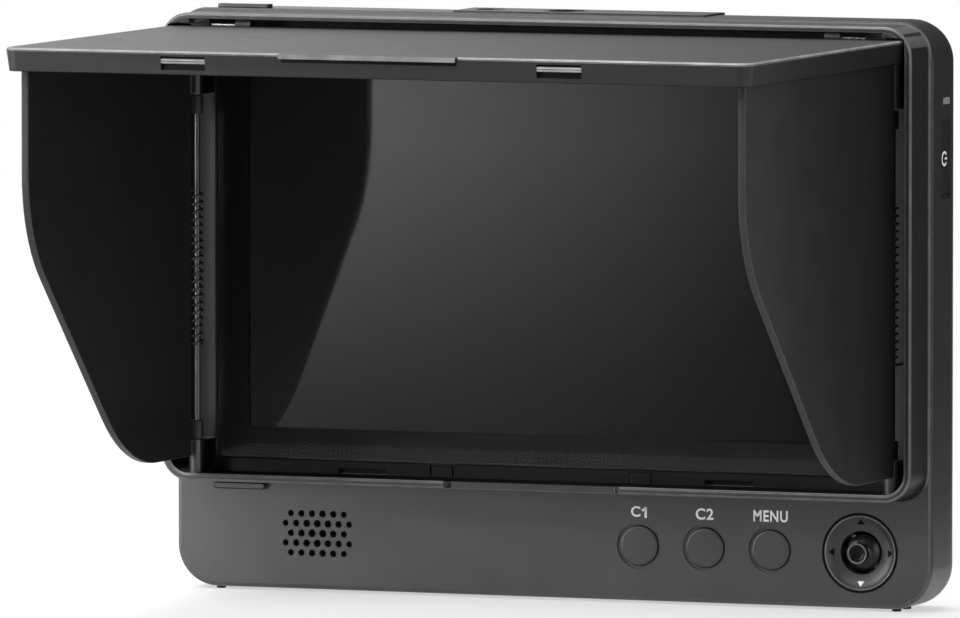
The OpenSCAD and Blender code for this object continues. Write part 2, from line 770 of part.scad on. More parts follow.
module lcd_bracket() color("#9a9da1") difference() {
    union() {
        front_plate(backlight_back, bracket_back) screen_rect(bracket_w, bracket_h);
        front_plate(wall, backlight_back) difference() {
            screen_rect(bracket_w, bracket_h);
            screen_rect(lcd_w + 2 * window_gap, lcd_h + 2 * window_gap);
        }
        for (place = standoff_places) depth_rod(place.x, place.y, 3.6, bracket_back, board_front);
    }
    for (place = standoff_places) {
        depth_rod(place.x, place.y, screw_d + 0.1, bracket_back + 1, board_front + 1);
    }
    block([flex_x[0] - 1, wall, flex_z - flex_t],
        [flex_x[1] + 1, bracket_back + 1, flex_z + 2 * flex_t]);
}

module lcd_flex() color("#b5651d") {
    back = board_front - 2 * flex_t;
    block([flex_x[0], lcd_front + 2 * flex_t, flex_z], [flex_x[1], back, flex_z + flex_t]);
    block([flex_x[0], back - flex_t, flex_z], [flex_x[1], back, flex_z + flex_up]);
}

module main_board() color("#1f5a34") difference() {
    block([-board_w / 2, board_front, board_low], [board_w / 2, board_back, board_high]);
    for (place = standoff_places) {
        depth_rod(place.x, place.y, screw_d + 0.3, board_front - 1, board_back + 1);
    }
}

module board_screws() color("#c2c3c8") {
    for (place = standoff_places) {
        depth_rod(place.x, place.y, screw_d, board_front - 3.4, board_back + 0.2);
        depth_rod(place.x, place.y, 3, board_back, board_back + 0.9);
    }
}

module main_chips() color("#1a1a1c") {
    for (c = chips) block([c[0], board_back, c[1]], [c[0] + c[2], board_back + chip_t, c[1] + c[3]]);
    block([flex_x[0] - 1, board_front - 2 * flex_t, flex_z + flex_up - 4],
        [flex_x[1] + 1, board_front, flex_z + flex_up - 0.4]);
}

module shield_can() color("#bfc1c5") difference() {
    block([shield_x[0], board_back, shield_z[0]],
        [shield_x[1], board_back + shield_t, shield_z[1]]);
    block([shield_x[0] + 0.3, board_back - 1, shield_z[0] + 0.3],
        [shield_x[1] - 0.3, board_back + shield_t - 0.3, shield_z[1] - 0.3]);
}

module heat_pad() color("#9fb4c8")
    block([shield_x[0] + 3, board_back + shield_t, shield_z[0] + 4],
        [shield_x[1] - 3, body_depth - wall, shield_z[1] - 4]);

module key_board() color("#1f5a34")
    block([key_board_x[0], key_board_front, pad_h + 0.3],
        [key_board_x[1], key_board_front + key_board_t, strip_h - 1.3]);

// Places of the posts that carry the key board, between the buttons and beside the last one
function key_post_x() =
    [menu_x - 1.5 * button_pitch, menu_x - button_pitch / 2, (menu_x + joystick_x) / 2 - 1.6];

module key_switches() color("#2a2a2c") {
    for (i = [0:2]) {
        x = button_x(i);
        half = key_switch_size / 2;
        block([x - half, key_front, control_z - half], [x + half, key_board_front,
            control_z + half]);
        depth_rod(x, control_z, 1.6, key_front - 0.15, key_front + 0.2);
    }
}

// Centre of button i, 0 to 2 from the left
function button_x(i) = menu_x - (2 - i) * button_pitch;

// Turned shape about an axis along the depth, its section drawn with the radius to the right
// and the distance in front of the strip upward
module turned(x, z, fn = 64) {
    at_face() translate([x, 0, z]) rotate([90, 0, 0]) rotate_extrude($fn = fn) children();
}

module button(i) {
    r = button_d / 2;
    flange = wall + 0.15;
    nub = key_front - 0.2 - button_travel;
    turned(button_x(i), control_z) polygon([[0, 0.15], [r - 0.35, 0.15], [r - 0.1, 0.05],
        [r, -0.15], [r, -flange], [r + 0.6, -flange], [r + 0.6, -flange - 0.5],
        [1, -flange - 0.5], [1, -nub], [0, -nub]]);
}

module button_1() color("#47474b") button(0);

module button_2() color("#47474b") button(1);

module button_3() color("#47474b") button(2);

module joystick_bezel() color("#505055") {
    r = dish_d / 2;
    hole = 3.7;
    turned(joystick_x, control_z, 96) polygon([[hole, -wall - 0.5], [r + 0.35, -wall - 0.5],
        [r + 0.35, -wall], [r, -wall], [r, 0.05], [r - 0.25, 0.12], [r - 0.6, 0],
        [r - 1.6, -0.4], [(r - 1.6 + hole) / 2, -0.62], [hole, -0.75]]);
}

module joystick_base() color("#2c2c2e") difference() {
    block([joystick_x - 4.6, wall + 0.7, control_z - 4.6],
        [joystick_x + 4.6, key_board_front, control_z + 4.6]);
    block([joystick_x - 3.9, wall, control_z - 3.9],
        [joystick_x + 3.9, key_board_front - 0.5, control_z + 3.9]);
    side_rod(joystick_x - 5, joystick_x + 5, 0.4);
}

// Rod along X through the joystick's pivot
module side_rod(x0, x1, r) {
    at_face() translate([x0, stick_pivot, control_z]) rotate([0, 90, 0])
        cylinder(h = x1 - x0, r = r, $fn = 32);
}

module joystick_gimbal() color("#8f9094") difference() {
    union() {
        block([joystick_x - 2.7, stick_pivot - 0.6, control_z - 2.7],
            [joystick_x + 2.7, stick_pivot + 0.6, control_z + 2.7]);
        side_rod(joystick_x - 4.4, joystick_x + 4.4, 0.35);
    }
    block([joystick_x - 2, stick_pivot - 1, control_z - 2],
        [joystick_x + 2, stick_pivot + 1, control_z + 2]);
    upright(joystick_x, stick_pivot, control_z - 3, control_z + 3, 0.4);
}

module joystick_stick() color("#303033") {
    upright(joystick_x, stick_pivot, control_z - 2.5, control_z + 2.5, 0.35);
    difference() {
        turned(joystick_x, control_z) polygon([[0, -stick_pivot - 0.6], [1.2, -stick_pivot - 0.6],
            [1.2, -1.9], [3.1, -1.9], [3.1, -1.5], [2.4, -1.05], [1.3, -0.6], [1.1, -0.2],
            [0, -0.2]]);
        depth_rod(joystick_x, control_z, 1.2, -1, 2);
    }
}

module joystick_cap() color("#1d1d1f") {
    r = stick_cap_d / 2;
    turned(joystick_x, control_z) polygon([[0, 1.45], [r - 0.75, 1.65], [r - 0.2, 1.65], [r, 1.45],
        [r, 0.6], [r - 0.3, 0.35], [0.55, 0.35], [0.55, -1.4], [0, -1.4]]);
}

module speaker() color("#222224") {
    depth_rod(speaker_x, speaker_z, speaker_d, wall + 0.45, wall + 2.4);
    depth_rod(speaker_x, speaker_z, speaker_d - 5, wall + 2.4, wall + 4);
}

module speaker_mesh() color("#0d0d0d")
    depth_rod(speaker_x, speaker_z, speaker_d, wall + 0.05, wall + 0.45);

module power_button() color("#47474b") {
    block([half_w - wall - 0.1, power_y - power_w / 2, power_z - power_h / 2],
        [half_w - 0.5, power_y + power_w / 2, power_z + power_h / 2]);
    block([half_w - wall - 0.5, power_y - power_w / 2 - 0.2, power_z - power_h / 2 - 0.8],
        [half_w - wall - 0.1, power_y + power_w / 2 + 0.2, power_z + power_h / 2 + 0.8]);
}

module power_switch() color("#2a2a2c") {
    end = half_w - wall - 1.2;
    block([end - 7.7, board_front - 4, power_z - 3], [end, board_front, power_z + 3]);
    at_face() translate([end - 0.1, power_y, power_z]) rotate([0, 90, 0])
        cylinder(h = 0.35, r = 0.8, $fn = 32);
}

module indicator_lens() color("#d9dde0")
    block([half_w - wall - 0.4, light_y[0], light_z - light_h / 2],
        [half_w - 0.05, light_y[1], light_z + light_h / 2]);

module video_sockets() color("#b4b6ba") {
    for (z = video_z) {
        low = [bay_depth - half_w, board_front - video_size.y, z - video_size.z / 2];
        high = low + video_size;
        difference() {
            block(low, high);
            block(low + [-1, 0.45, 0.45], high - [1, 0.45, 0.45]);
        }
        block([low.x + 1.5, video_tongue_y, z - 5.6], [high.x - 0.5, video_tongue_y + 1, z + 5.6]);
    }
}

module headphone_jack() color("#202022") difference() {
    union() {
        block([-half_w + wall + 0.7, board_front - 5.6, jack_z - 3],
            [-half_w + wall + 11, board_front, jack_z + 3]);
        jack_rod(bay_depth, wall + 2, 2.5);
    }
    jack_rod(bay_depth - 1, wall + 9, 1.8);
}

// Rod along X at the headphone jack, its ends given behind the body's left side
module jack_rod(x0, x1, r) {
    at_face() translate([x0 - half_w, jack_y, jack_z]) rotate([0, 90, 0])
        cylinder(h = x1 - x0, r = r, $fn = 48);
}

module port_cover() color("#3a3a3e") {
    axis_x = door_axis_r - half_w;
    axis_y = door_y[0] + door_axis_r;
    difference() {
        union() {
            upright(axis_x, axis_y, door_low + 0.1, door_high - 0.1, door_axis_r);
            block([-half_w, axis_y, door_low + 0.1], [door_t - half_w, door_y[1], door_high - 0.1]);
        }
        upright(axis_x, axis_y, door_low - 1, door_high + 1, 0.35 + run_gap);
    }
}

module port_cover_pin() color("#a9aab0")
    upright(door_axis_r - half_w, door_y[0] + door_axis_r, door_low - 0.8, door_high + 0.8, 0.35);

// Threaded insert with its mouth at z and its body running the way of s
module insert(z, s) {
    at_face() translate([0, thread_depth, z]) mirror([0, 0, s > 0 ? 0 : 1]) difference() {
        cylinder(h = thread_len, r = insert_r, $fn = 64);
        translate([0, 0, -1]) cylinder(h = thread_len, d = thread_d, $fn = 64);
    }
}

module top_thread_insert() color("#c9b27a") insert(body_h + pad_proud, -1);

module base_thread_insert() color("#c9b27a") insert(0, 1);

module rear_screws() color("#2b2b2e") {
    seat = boss_back - 0.8;
    for (place = boss_places) {
        depth_rod(place.x, place.y, screw_d, wall + 1, seat + 0.2);
        difference() {
            depth_rod(place.x, place.y, screw_head_d, seat, seat + screw_head_t);
            block([place.x - 1.3, seat + 0.7, place.y - 0.2], [place.x + 1.3, seat + 2,
                place.y + 0.2]);
            block([place.x - 0.2, seat + 0.7, place.y - 1.3], [place.x + 0.2, seat + 2,
                place.y + 1.3]);
        }
    }
}

module battery_plate() color("#222225") difference() {
    front_plate(plate_front, plate_back) round_rect(plate_low, plate_high, 2);
    for (s = [-1, 1], z = [plate_low.y + 14, plate_high.y - 22]) {
        block([s * (plate_w / 2 - 3) - 3.4, plate_front + 1.4, z],
            [s * (plate_w / 2 - 3) + 3.4, plate_back + 1, z + 5]);
    }
    block([-latch_size.x / 2 - gap, plate_front + 0.8, latch_z - latch_travel - gap],
        [latch_size.x / 2 + gap, plate_back + 1, latch_z + latch_size.y + gap]);
    for (place = plate_screw_places) {
        depth_rod(place.x, place.y, screw_d + 0.3, plate_front - 1, plate_back + 1);
        depth_rod(place.x, place.y, 3.3, plate_back - 1, plate_back + 1);
    }
    for (x = contact_x) {
        block([x - 0.8, plate_front - 1, contact_z], [x + 0.8, plate_back + 1, contact_z + 6]);
    }
}

module battery_contacts() color("#cfa64a") {
    for (x = contact_x) {
        block([x - 0.4, plate_front, contact_z + 0.1], [x + 0.4, plate_back + 0.8, contact_z + 5.9]);
    }
}

module battery_latch() color("#3d3d41") {
    block([-latch_size.x / 2, plate_front + 1, latch_z],
        [latch_size.x / 2, plate_back + 0.4, latch_z + latch_size.y]);
    for (k = [0:3]) {
        z = latch_z + 1.4 + 1.5 * k;
        block([-latch_size.x / 2 + 1.5, plate_back + 0.3, z],
            [latch_size.x / 2 - 1.5, plate_back + 0.7, z + 0.6]);
    }
}

module plate_screws() color("#8d8e92") {
    for (place = plate_screw_places) {
        depth_rod(place.x, place.y, screw_d, plate_front - 1.6, plate_back - 0.9);
        depth_rod(place.x, place.y, 3, plate_back - 1, plate_back - 0.2);
    }
}

module feet() color("#1b1b1d") {
    for (place = foot_places) upright(place.x, place.y, -foot_h, 0, foot_r);
}

front_housing();
rear_housing();
hood_frame();
hood_catches();
visor();
visor_hinge_pins();
left_flap();
left_flap_pin();
left_flap_spring();
right_flap();
right_flap_pin();
right_flap_spring();
cover_glass();
glass_gasket();
lcd_panel();
backlight();
lcd_bracket();
lcd_flex();
main_board();
board_screws();
main_chips();
shield_can();
heat_pad();
key_board();
key_switches();
button_1();
button_2();
button_3();
joystick_bezel();
joystick_base();
joystick_gimbal();
joystick_stick();
joystick_cap();
speaker();
speaker_mesh();
power_button();
power_switch();
indicator_lens();
video_sockets();
headphone_jack();
port_cover();
port_cover_pin();
top_thread_insert();
base_thread_insert();
rear_screws();
battery_plate();
battery_contacts();
battery_latch();
plate_screws();
feet();
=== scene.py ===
import json
import logging
import math
from dataclasses import dataclass
from enum import Enum
from functools import cache
from typing import Any, Optional, Sequence

import bmesh
import bpy
from mathutils import Matrix, Vector

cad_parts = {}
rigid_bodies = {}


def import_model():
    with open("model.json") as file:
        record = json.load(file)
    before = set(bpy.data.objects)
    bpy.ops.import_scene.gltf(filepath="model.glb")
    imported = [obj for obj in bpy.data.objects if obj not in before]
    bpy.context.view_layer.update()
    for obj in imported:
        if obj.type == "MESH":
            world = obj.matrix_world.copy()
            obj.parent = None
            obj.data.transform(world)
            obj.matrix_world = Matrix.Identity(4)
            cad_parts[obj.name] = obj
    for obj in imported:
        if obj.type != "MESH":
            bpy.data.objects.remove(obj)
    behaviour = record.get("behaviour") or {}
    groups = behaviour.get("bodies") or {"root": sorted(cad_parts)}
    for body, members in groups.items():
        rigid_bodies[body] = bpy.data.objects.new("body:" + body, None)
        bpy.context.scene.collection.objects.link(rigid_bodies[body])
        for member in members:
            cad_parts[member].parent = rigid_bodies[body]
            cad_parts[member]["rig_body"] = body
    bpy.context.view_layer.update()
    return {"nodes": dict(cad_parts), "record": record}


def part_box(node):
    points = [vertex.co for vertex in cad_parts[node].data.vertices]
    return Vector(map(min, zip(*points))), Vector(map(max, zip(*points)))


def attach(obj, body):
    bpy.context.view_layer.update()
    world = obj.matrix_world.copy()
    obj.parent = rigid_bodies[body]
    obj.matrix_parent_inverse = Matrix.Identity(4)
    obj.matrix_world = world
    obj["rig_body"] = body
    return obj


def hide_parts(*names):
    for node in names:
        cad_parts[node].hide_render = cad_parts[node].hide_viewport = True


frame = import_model()

LOG = logging.getLogger("field_monitor")
MM = 0.001
Colour = tuple[float, float, float]
UPRIGHT = Matrix.Rotation(math.pi / 2, 4, "X")
# The step that keeps a laid-on face clear of the one under it
HAIR = 0.01 * MM


# Shader graphs


class Graph:
    """A node tree that is filled one node at a time."""

    def __init__(self, tree: bpy.types.NodeTree) -> None:
        """Takes the tree to fill."""
        self.tree = tree

    def put(self, kind: str, inputs: Optional[dict[Any, Any]] = None, **settings: Any) -> bpy.types.Node:
        """Adds a node.

        Args:
            kind: the node's type name.
            inputs: values or source sockets for its input sockets, by name or number.
            settings: the node's own properties.

        Returns:
            The new node.
        """
        node = self.tree.nodes.new(kind)
        for key, value in settings.items():
            setattr(node, key, value)
        for key, value in (inputs or {}).items():
            if isinstance(value, bpy.types.NodeSocket):
                self.link(value, node.inputs[key])
            else:
                node.inputs[key].default_value = value
        return node

    def link(self, source: Any, target: Any) -> None:
        """Links two sockets."""
        self.tree.links.new(source, target)

    def place(self) -> bpy.types.NodeSocket:
        """Returns the piece's own coordinates."""
        return self.put("ShaderNodeTexCoord").outputs["Object"]

    def math(self, operation: str, first: Any, second: Any = 0.0) -> bpy.types.NodeSocket:
        """Adds a Math node and returns its result."""
        return self.put("ShaderNodeMath", {0: first, 1: second}, operation=operation).outputs[0]

    def noise(self, scale: Any, detail: float = 2.0, vector: Any = None) -> bpy.types.NodeSocket:
        """Adds a noise pattern on Object coordinates and returns its strength.

        Args:
            scale: the noise's scale, a number or a socket.
            detail: the noise's detail.
            vector: coordinates to use in place of the piece's own.

        Returns:
            The socket with the noise, from 0 to 1.
        """
        inputs = {"Vector": vector or self.place(), "Scale": scale, "Detail": detail}
        return self.put("ShaderNodeTexNoise", inputs).outputs["Fac"]

    def spread(self, value: Any, low: float, high: float, to_low: Any, to_high: Any) -> bpy.types.NodeSocket:
        """Maps a value from one range to another and returns it.

        Args:
            value: the socket to map.
            low: the start of its range.
            high: the end of its range.
            to_low: what the start becomes, a number or a socket.
            to_high: what the end becomes, a number or a socket.

        Returns:
            The mapped value.
        """
        inputs = {0: value, 1: low, 2: high, 3: to_low, 4: to_high}
        return self.put("ShaderNodeMapRange", inputs).outputs[0]

    def blend(self, mask: Any, first: Any, second: Any) -> bpy.types.NodeSocket:
        """Mixes two colours by a mask and returns the colour."""
        return self.put("ShaderNodeMix", {0: mask, 6: first, 7: second}, data_type="RGBA").outputs[2]

    def scaled(self, colour: Any, factor: Any) -> bpy.types.NodeSocket:
        """Makes a colour lighter or darker by a factor and returns it."""
        return self.put("ShaderNodeVectorMath", {0: colour, 3: factor}, operation="SCALE").outputs[0]

    def length(self, vector: Any) -> bpy.types.NodeSocket:
        """Returns a vector's length."""
        return self.put("ShaderNodeVectorMath", {0: vector}, operation="LENGTH").outputs[1]


def new_group(name: str, inputs: dict[str, Any], outputs: dict[str, str]) -> tuple[Graph, Any, Any]:
    """Starts a shader node group.

    Args:
        name: the group's name.
        inputs: each input's name and default, a number or a colour.
        outputs: each output's name and socket type.

    Returns:
        The graph to fill, its input node's outputs and its output node's inputs.
    """
    tree = bpy.data.node_groups.new(name, "ShaderNodeTree")
    for key, value in inputs.items():
        kind = "NodeSocketFloat" if isinstance(value, float) else "NodeSocketColor"
        tree.interface.new_socket(key, in_out="INPUT", socket_type=kind).default_value = value
    for key, kind in outputs.items():
        tree.interface.new_socket(key, in_out="OUTPUT", socket_type=kind)
    graph = Graph(tree)
    return graph, graph.put("NodeGroupInput").outputs, graph.put("NodeGroupOutput").inputs


def new_material(name: str) -> tuple[bpy.types.Material, Graph, Any]:
    """Starts a material.

    Args:
        name: the material's name.

    Returns:
        The material, the graph to fill and its shader's inputs.
    """
    made = bpy.data.materials.new(name)
    made.use_nodes = True
    return made, Graph(made.node_tree), made.node_tree.nodes["Principled BSDF"].inputs


class Effects:
    """Node groups that more than one finish uses, each built once."""

    @staticmethod
    @cache
    def grain() -> bpy.types.NodeTree:
        """Builds the fine grain of a moulded surface.

        Returns:
            The group, which gives a height for the grain's size.
        """
        graph, given, out = new_group("moulded_grain", {"Size": 0.0002}, {"Height": "NodeSocketFloat"})
        graph.link(graph.noise(graph.math("DIVIDE", 1.0, given["Size"]), 3.0), out["Height"])
        return graph.tree

    @staticmethod
    @cache
    def mottle() -> bpy.types.NodeTree:
        """Builds a slight variation of a colour, in soft patches and fine specks.

        Returns:
            The group, which gives the varied colour.
        """
        inputs = {"Colour": (0.1, 0.1, 0.1, 1.0), "Amount": 0.1, "Size": 0.01}
        graph, given, out = new_group("mottled_colour", inputs, {"Colour": "NodeSocketColor"})
        patches = graph.noise(graph.math("DIVIDE", 1.0, given["Size"]), 2.0)
        specks = graph.noise(graph.math("DIVIDE", 30.0, given["Size"]), 1.0)
        both = graph.math("ADD", graph.math("MULTIPLY", patches, 0.6), graph.math("MULTIPLY", specks, 0.4))
        low = graph.math("SUBTRACT", 1.0, given["Amount"])
        high = graph.math("ADD", 1.0, given["Amount"])
        graph.link(graph.scaled(given["Colour"], graph.spread(both, 0.35, 0.65, low, high)), out["Colour"])
        return graph.tree

    @staticmethod
    @cache
    def wear_and_highlight() -> bpy.types.NodeTree:
        """Builds lighter edges, partly scuffing and partly a painted highlight, on the faces that carry the
        edge attribute.

        Returns:
            The group, which gives the colour and the mask of the scuffed and painted-highlight edges.
        """
        inputs = {"Colour": (0.1, 0.1, 0.1, 1.0), "Worn": (0.2, 0.2, 0.2, 1.0), "Amount": 0.5}
        outputs = {"Colour": "NodeSocketColor", "Mask": "NodeSocketFloat"}
        graph, given, out = new_group("edge_wear_and_highlight", inputs, outputs)
        edge = graph.put("ShaderNodeAttribute", attribute_name="edge").outputs["Fac"]
        patchy = graph.spread(graph.noise(260.0, 3.0), 0.3, 0.7, 0.55, 1.0)
        mask = graph.math("MULTIPLY", graph.math("MULTIPLY", edge, patchy), given["Amount"])
        graph.link(graph.blend(mask, given["Colour"], given["Worn"]), out["Colour"])
        graph.link(mask, out["Mask"])
        return graph.tree


# Finishes


@dataclass(frozen=True)
class Finish:
    """A finish that pieces can be given."""

    name: str
    colour: Colour
    roughness: float

    def material(self) -> bpy.types.Material:
        """Makes the finish's material at its first use.

        Returns:
            The material.
        """
        found = bpy.data.materials.get(self.name)
        if found:
            return found
        made, graph, shader = new_material(self.name)
        made.diffuse_color = (*self.colour, 1.0)
        shader["Roughness"].default_value = self.roughness
        self.shade(graph, shader)
        return made

    def shade(self, graph: Graph, shader: Any) -> None:
        """Joins the finish's pattern to the shader's inputs."""
        graph.link(self.mottled(graph, 0.1, 8 * MM), shader["Base Color"])

    def mottled(self, graph: Graph, amount: float, size: float) -> bpy.types.NodeSocket:
        """Returns the finish's colour, varied by a share in patches of a size in metres."""
        inputs = {"Colour": (*self.colour, 1.0), "Amount": amount, "Size": size}
        return graph.put("ShaderNodeGroup", inputs, node_tree=Effects.mottle()).outputs[0]

    @staticmethod
    def bump(graph: Graph, shader: Any, height: Any, distance: float) -> None:
        """Gives the shader a bumped normal of a depth in metres."""
        graph.link(graph.put("ShaderNodeBump", {"Height": height, "Distance": distance}).outputs[0],
                   shader["Normal"])


@dataclass(frozen=True)
class Moulded(Finish):
    """Grained, matt or satin moulded plastic or rubber."""

    grain_size: float = 0.22 * MM
    grain_depth: float = 0.012 * MM
    variation: float = 0.08
    patch: float = 9 * MM
    # Lighter edge colour and its amount: scuffing with a painted highlight
    worn: Colour = (0.07, 0.07, 0.072)
    wear_and_highlight: float = 0.35
    polish: float = 0.12
    gloss: float = 0.5
    uneven: float = 0.04
    # How dark the painted shade is on faces marked for it
    depth: float = 0.0

    def shade(self, graph: Graph, shader: Any) -> None:
        """Joins colour variation, edge scuffing with a painted highlight, painted shade on marked faces,
        grain and uneven gloss.

        Args:
            graph: the material's graph.
            shader: the shader's inputs.
        """
        shader["Specular IOR Level"].default_value = self.gloss
        inputs = {"Colour": self.mottled(graph, self.variation, self.patch), "Worn": (*self.worn, 1.0),
                  "Amount": self.wear_and_highlight}
        worn = graph.put("ShaderNodeGroup", inputs, node_tree=Effects.wear_and_highlight()).outputs
        graph.link(worn["Colour"], shader["Base Color"])
        # Painted shade on faces in recesses, under rims and round gaps
        if self.depth > 0:
            self.paint_shade(graph, shader, worn["Colour"])
        grain = graph.put("ShaderNodeGroup", {"Size": self.grain_size}, node_tree=Effects.grain())
        self.bump(graph, shader, grain.outputs[0], self.grain_depth)
        rough = graph.spread(graph.noise(120.0), 0.3, 0.7, self.roughness - self.uneven,
                             self.roughness + self.uneven)
        smoother = graph.math("SUBTRACT", rough, graph.math("MULTIPLY", worn["Mask"], self.polish))
        graph.link(smoother, shader["Roughness"])

    def paint_shade(self, graph: Graph, shader: Any, colour: Any) -> None:
        """Paints shade on the faces marked for it, darkening them and lowering their gloss.

        Args:
            graph: the material's graph.
            shader: the shader's inputs.
            colour: the colour elsewhere.
        """
        inside = graph.put("ShaderNodeAttribute", attribute_name="inside").outputs["Fac"]
        mask = graph.math("MULTIPLY", inside, self.depth)
        graph.link(graph.blend(mask, colour, (0.0, 0.0, 0.0, 1.0)), shader["Base Color"])
        gloss = graph.spread(mask, 0.0, 1.0, self.gloss, self.gloss / 4)
        graph.link(gloss, shader["Specular IOR Level"])


@dataclass(frozen=True)
class Plated(Finish):
    """Metal with fine drawn or turned marks."""

    stretch: tuple[float, float, float] = (1.0, 1.0, 0.04)
    mark_depth: float = 0.003 * MM
    uneven: float = 0.08

    def shade(self, graph: Graph, shader: Any) -> None:
        """Joins stretched marks to the roughness and the normal.

        Args:
            graph: the material's graph.
            shader: the shader's inputs.
        """
        shader["Metallic"].default_value = 1.0
        graph.link(self.mottled(graph, 0.12, 3 * MM), shader["Base Color"])
        drawn = graph.put("ShaderNodeMapping", {"Vector": graph.place(), "Scale": self.stretch}).outputs[0]
        marks = graph.noise(6000.0, 2.0, drawn)
        rough = graph.spread(marks, 0.3, 0.7, self.roughness - self.uneven, self.roughness + self.uneven)
        graph.link(rough, shader["Roughness"])
        self.bump(graph, shader, marks, self.mark_depth)


@dataclass(frozen=True)
class Turned(Moulded):
    """A surface with fine rings about an axis along the depth."""

    axis: tuple[float, float] = (0.0, 0.0)
    ring: float = 0.06 * MM
    ring_depth: float = 0.002 * MM

    def shade(self, graph: Graph, shader: Any) -> None:
        """Joins the moulded finish and puts rings over its grain.

        Args:
            graph: the material's graph.
            shader: the shader's inputs.
        """
        super().shade(graph, shader)
        shift = {"Vector": graph.place(), "Location": (-self.axis[0], 0.0, -self.axis[1]),
                 "Scale": (1.0, 0.0, 1.0)}
        out = graph.length(graph.put("ShaderNodeMapping", shift).outputs[0])
        line = graph.put("ShaderNodeCombineXYZ", {0: out}).outputs[0]
        self.bump(graph, shader, graph.noise(1 / self.ring, 1.0, line), self.ring_depth)


@dataclass(frozen=True)
class Pane(Finish):
    """Clear cover glass with a thin coating."""

    ior: float = 1.5
    dust: float = 0.12

    def shade(self, graph: Graph, shader: Any) -> None:
        """Sets clear glass and joins the faintest dust to its roughness.

        Args:
            graph: the material's graph.
            shader: the shader's inputs.
        """
        shader["Base Color"].default_value = (*self.colour, 1.0)
        shader["Transmission Weight"].default_value = 1.0
        shader["IOR"].default_value = self.ior
        specks = graph.spread(graph.noise(900.0, 3.0), 0.72, 0.8, self.roughness, self.roughness + self.dust)
        graph.link(specks, shader["Roughness"])


@dataclass(frozen=True)
class Display(Finish):
    """A dark display panel, smooth and a little reflective."""

    ior: float = 1.9
    cell: float = 0.2 * MM

    def shade(self, graph: Graph, shader: Any) -> None:
        """Sets the gloss and joins a faint cell pattern to the colour.

        Args:
            graph: the material's graph.
            shader: the shader's inputs.
        """
        shader["IOR"].default_value = self.ior
        cells = graph.put("ShaderNodeTexVoronoi", {"Vector": graph.place(), "Scale": 1 / self.cell})
        factor = graph.spread(cells.outputs["Distance"], 0.0, 0.7, 0.9, 1.1)
        graph.link(graph.scaled(self.mottled(graph, 0.04, 30 * MM), factor), shader["Base Color"])


@dataclass(frozen=True)
class Circuit(Finish):
    """Solder mask over copper tracks."""

    track: Colour = (0.03, 0.2, 0.09)
    pitch: float = 1.2 * MM
    raised: float = 0.02 * MM

    def shade(self, graph: Graph, shader: Any) -> None:
        """Joins tracks as lighter, slightly raised lines.

        Args:
            graph: the material's graph.
            shader: the shader's inputs.
        """
        upright = {"Vector": graph.place(), "Rotation": (math.pi / 2, 0.0, 0.0)}
        turned = graph.put("ShaderNodeMapping", upright)
        lines = graph.put("ShaderNodeTexBrick", {
            "Vector": turned.outputs[0], "Scale": 1.0, "Mortar Size": 0.12 * self.pitch,
            "Brick Width": 6 * self.pitch, "Row Height": self.pitch,
        })
        patches = graph.spread(graph.noise(90.0), 0.4, 0.6, 0.0, 1.0)
        mask = graph.math("MULTIPLY", lines.outputs["Fac"], patches)
        colour = graph.blend(mask, self.mottled(graph, 0.1, 6 * MM), (*self.track, 1.0))
        graph.link(colour, shader["Base Color"])
        self.bump(graph, shader, mask, self.raised)


@dataclass(frozen=True)
class Mesh(Finish):
    """A perforated or woven sheet."""

    hole: Colour = (0.002, 0.002, 0.002)
    pitch: float = 0.35 * MM
    sunk: float = 0.05 * MM

    def shade(self, graph: Graph, shader: Any) -> None:
        """Joins a pattern of small dark holes.

        Args:
            graph: the material's graph.
            shader: the shader's inputs.
        """
        inputs = {"Vector": graph.place(), "Scale": 1 / self.pitch, "Randomness": 0.2}
        cells = graph.put("ShaderNodeTexVoronoi", inputs)
        mask = graph.spread(cells.outputs["Distance"], 0.25, 0.35, 0.0, 1.0)
        colour = graph.blend(mask, (*self.hole, 1.0), self.mottled(graph, 0.1, 2 * MM))
        graph.link(colour, shader["Base Color"])
        self.bump(graph, shader, mask, self.sunk)


STICK_LOW, STICK_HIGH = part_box("joystick_cap")
STICK_AXIS = ((STICK_LOW.x + STICK_HIGH.x) / 2, (STICK_LOW.z + STICK_HIGH.z) / 2)

# The lighter edge colours here are scuffing with a painted highlight; depth sets the painted shade
HOUSING = Moulded("charcoal_housing", (0.022, 0.022, 0.0228), 0.37, gloss=0.6, wear_and_highlight=0.6,
                  worn=(0.08, 0.08, 0.082), grain_size=0.3 * MM, grain_depth=0.02 * MM, depth=0.95)
HOOD = Moulded("charcoal_hood", (0.0145, 0.0145, 0.0152), 0.46, gloss=0.4, wear_and_highlight=0.8,
               worn=(0.12, 0.12, 0.122), depth=0.85)
# The visor's light edge colour is mostly a painted highlight along its top edge
VISOR = Moulded("charcoal_visor", (0.0108, 0.0108, 0.0113), 0.46, gloss=0.28, wear_and_highlight=0.9,
                worn=(0.3, 0.3, 0.305), variation=0.04, uneven=0.012, depth=0.85)
FLAP = Moulded("dark_flap", (0.0105, 0.0105, 0.011), 0.5, wear_and_highlight=0.6, worn=(0.034, 0.034, 0.035), gloss=0.35)
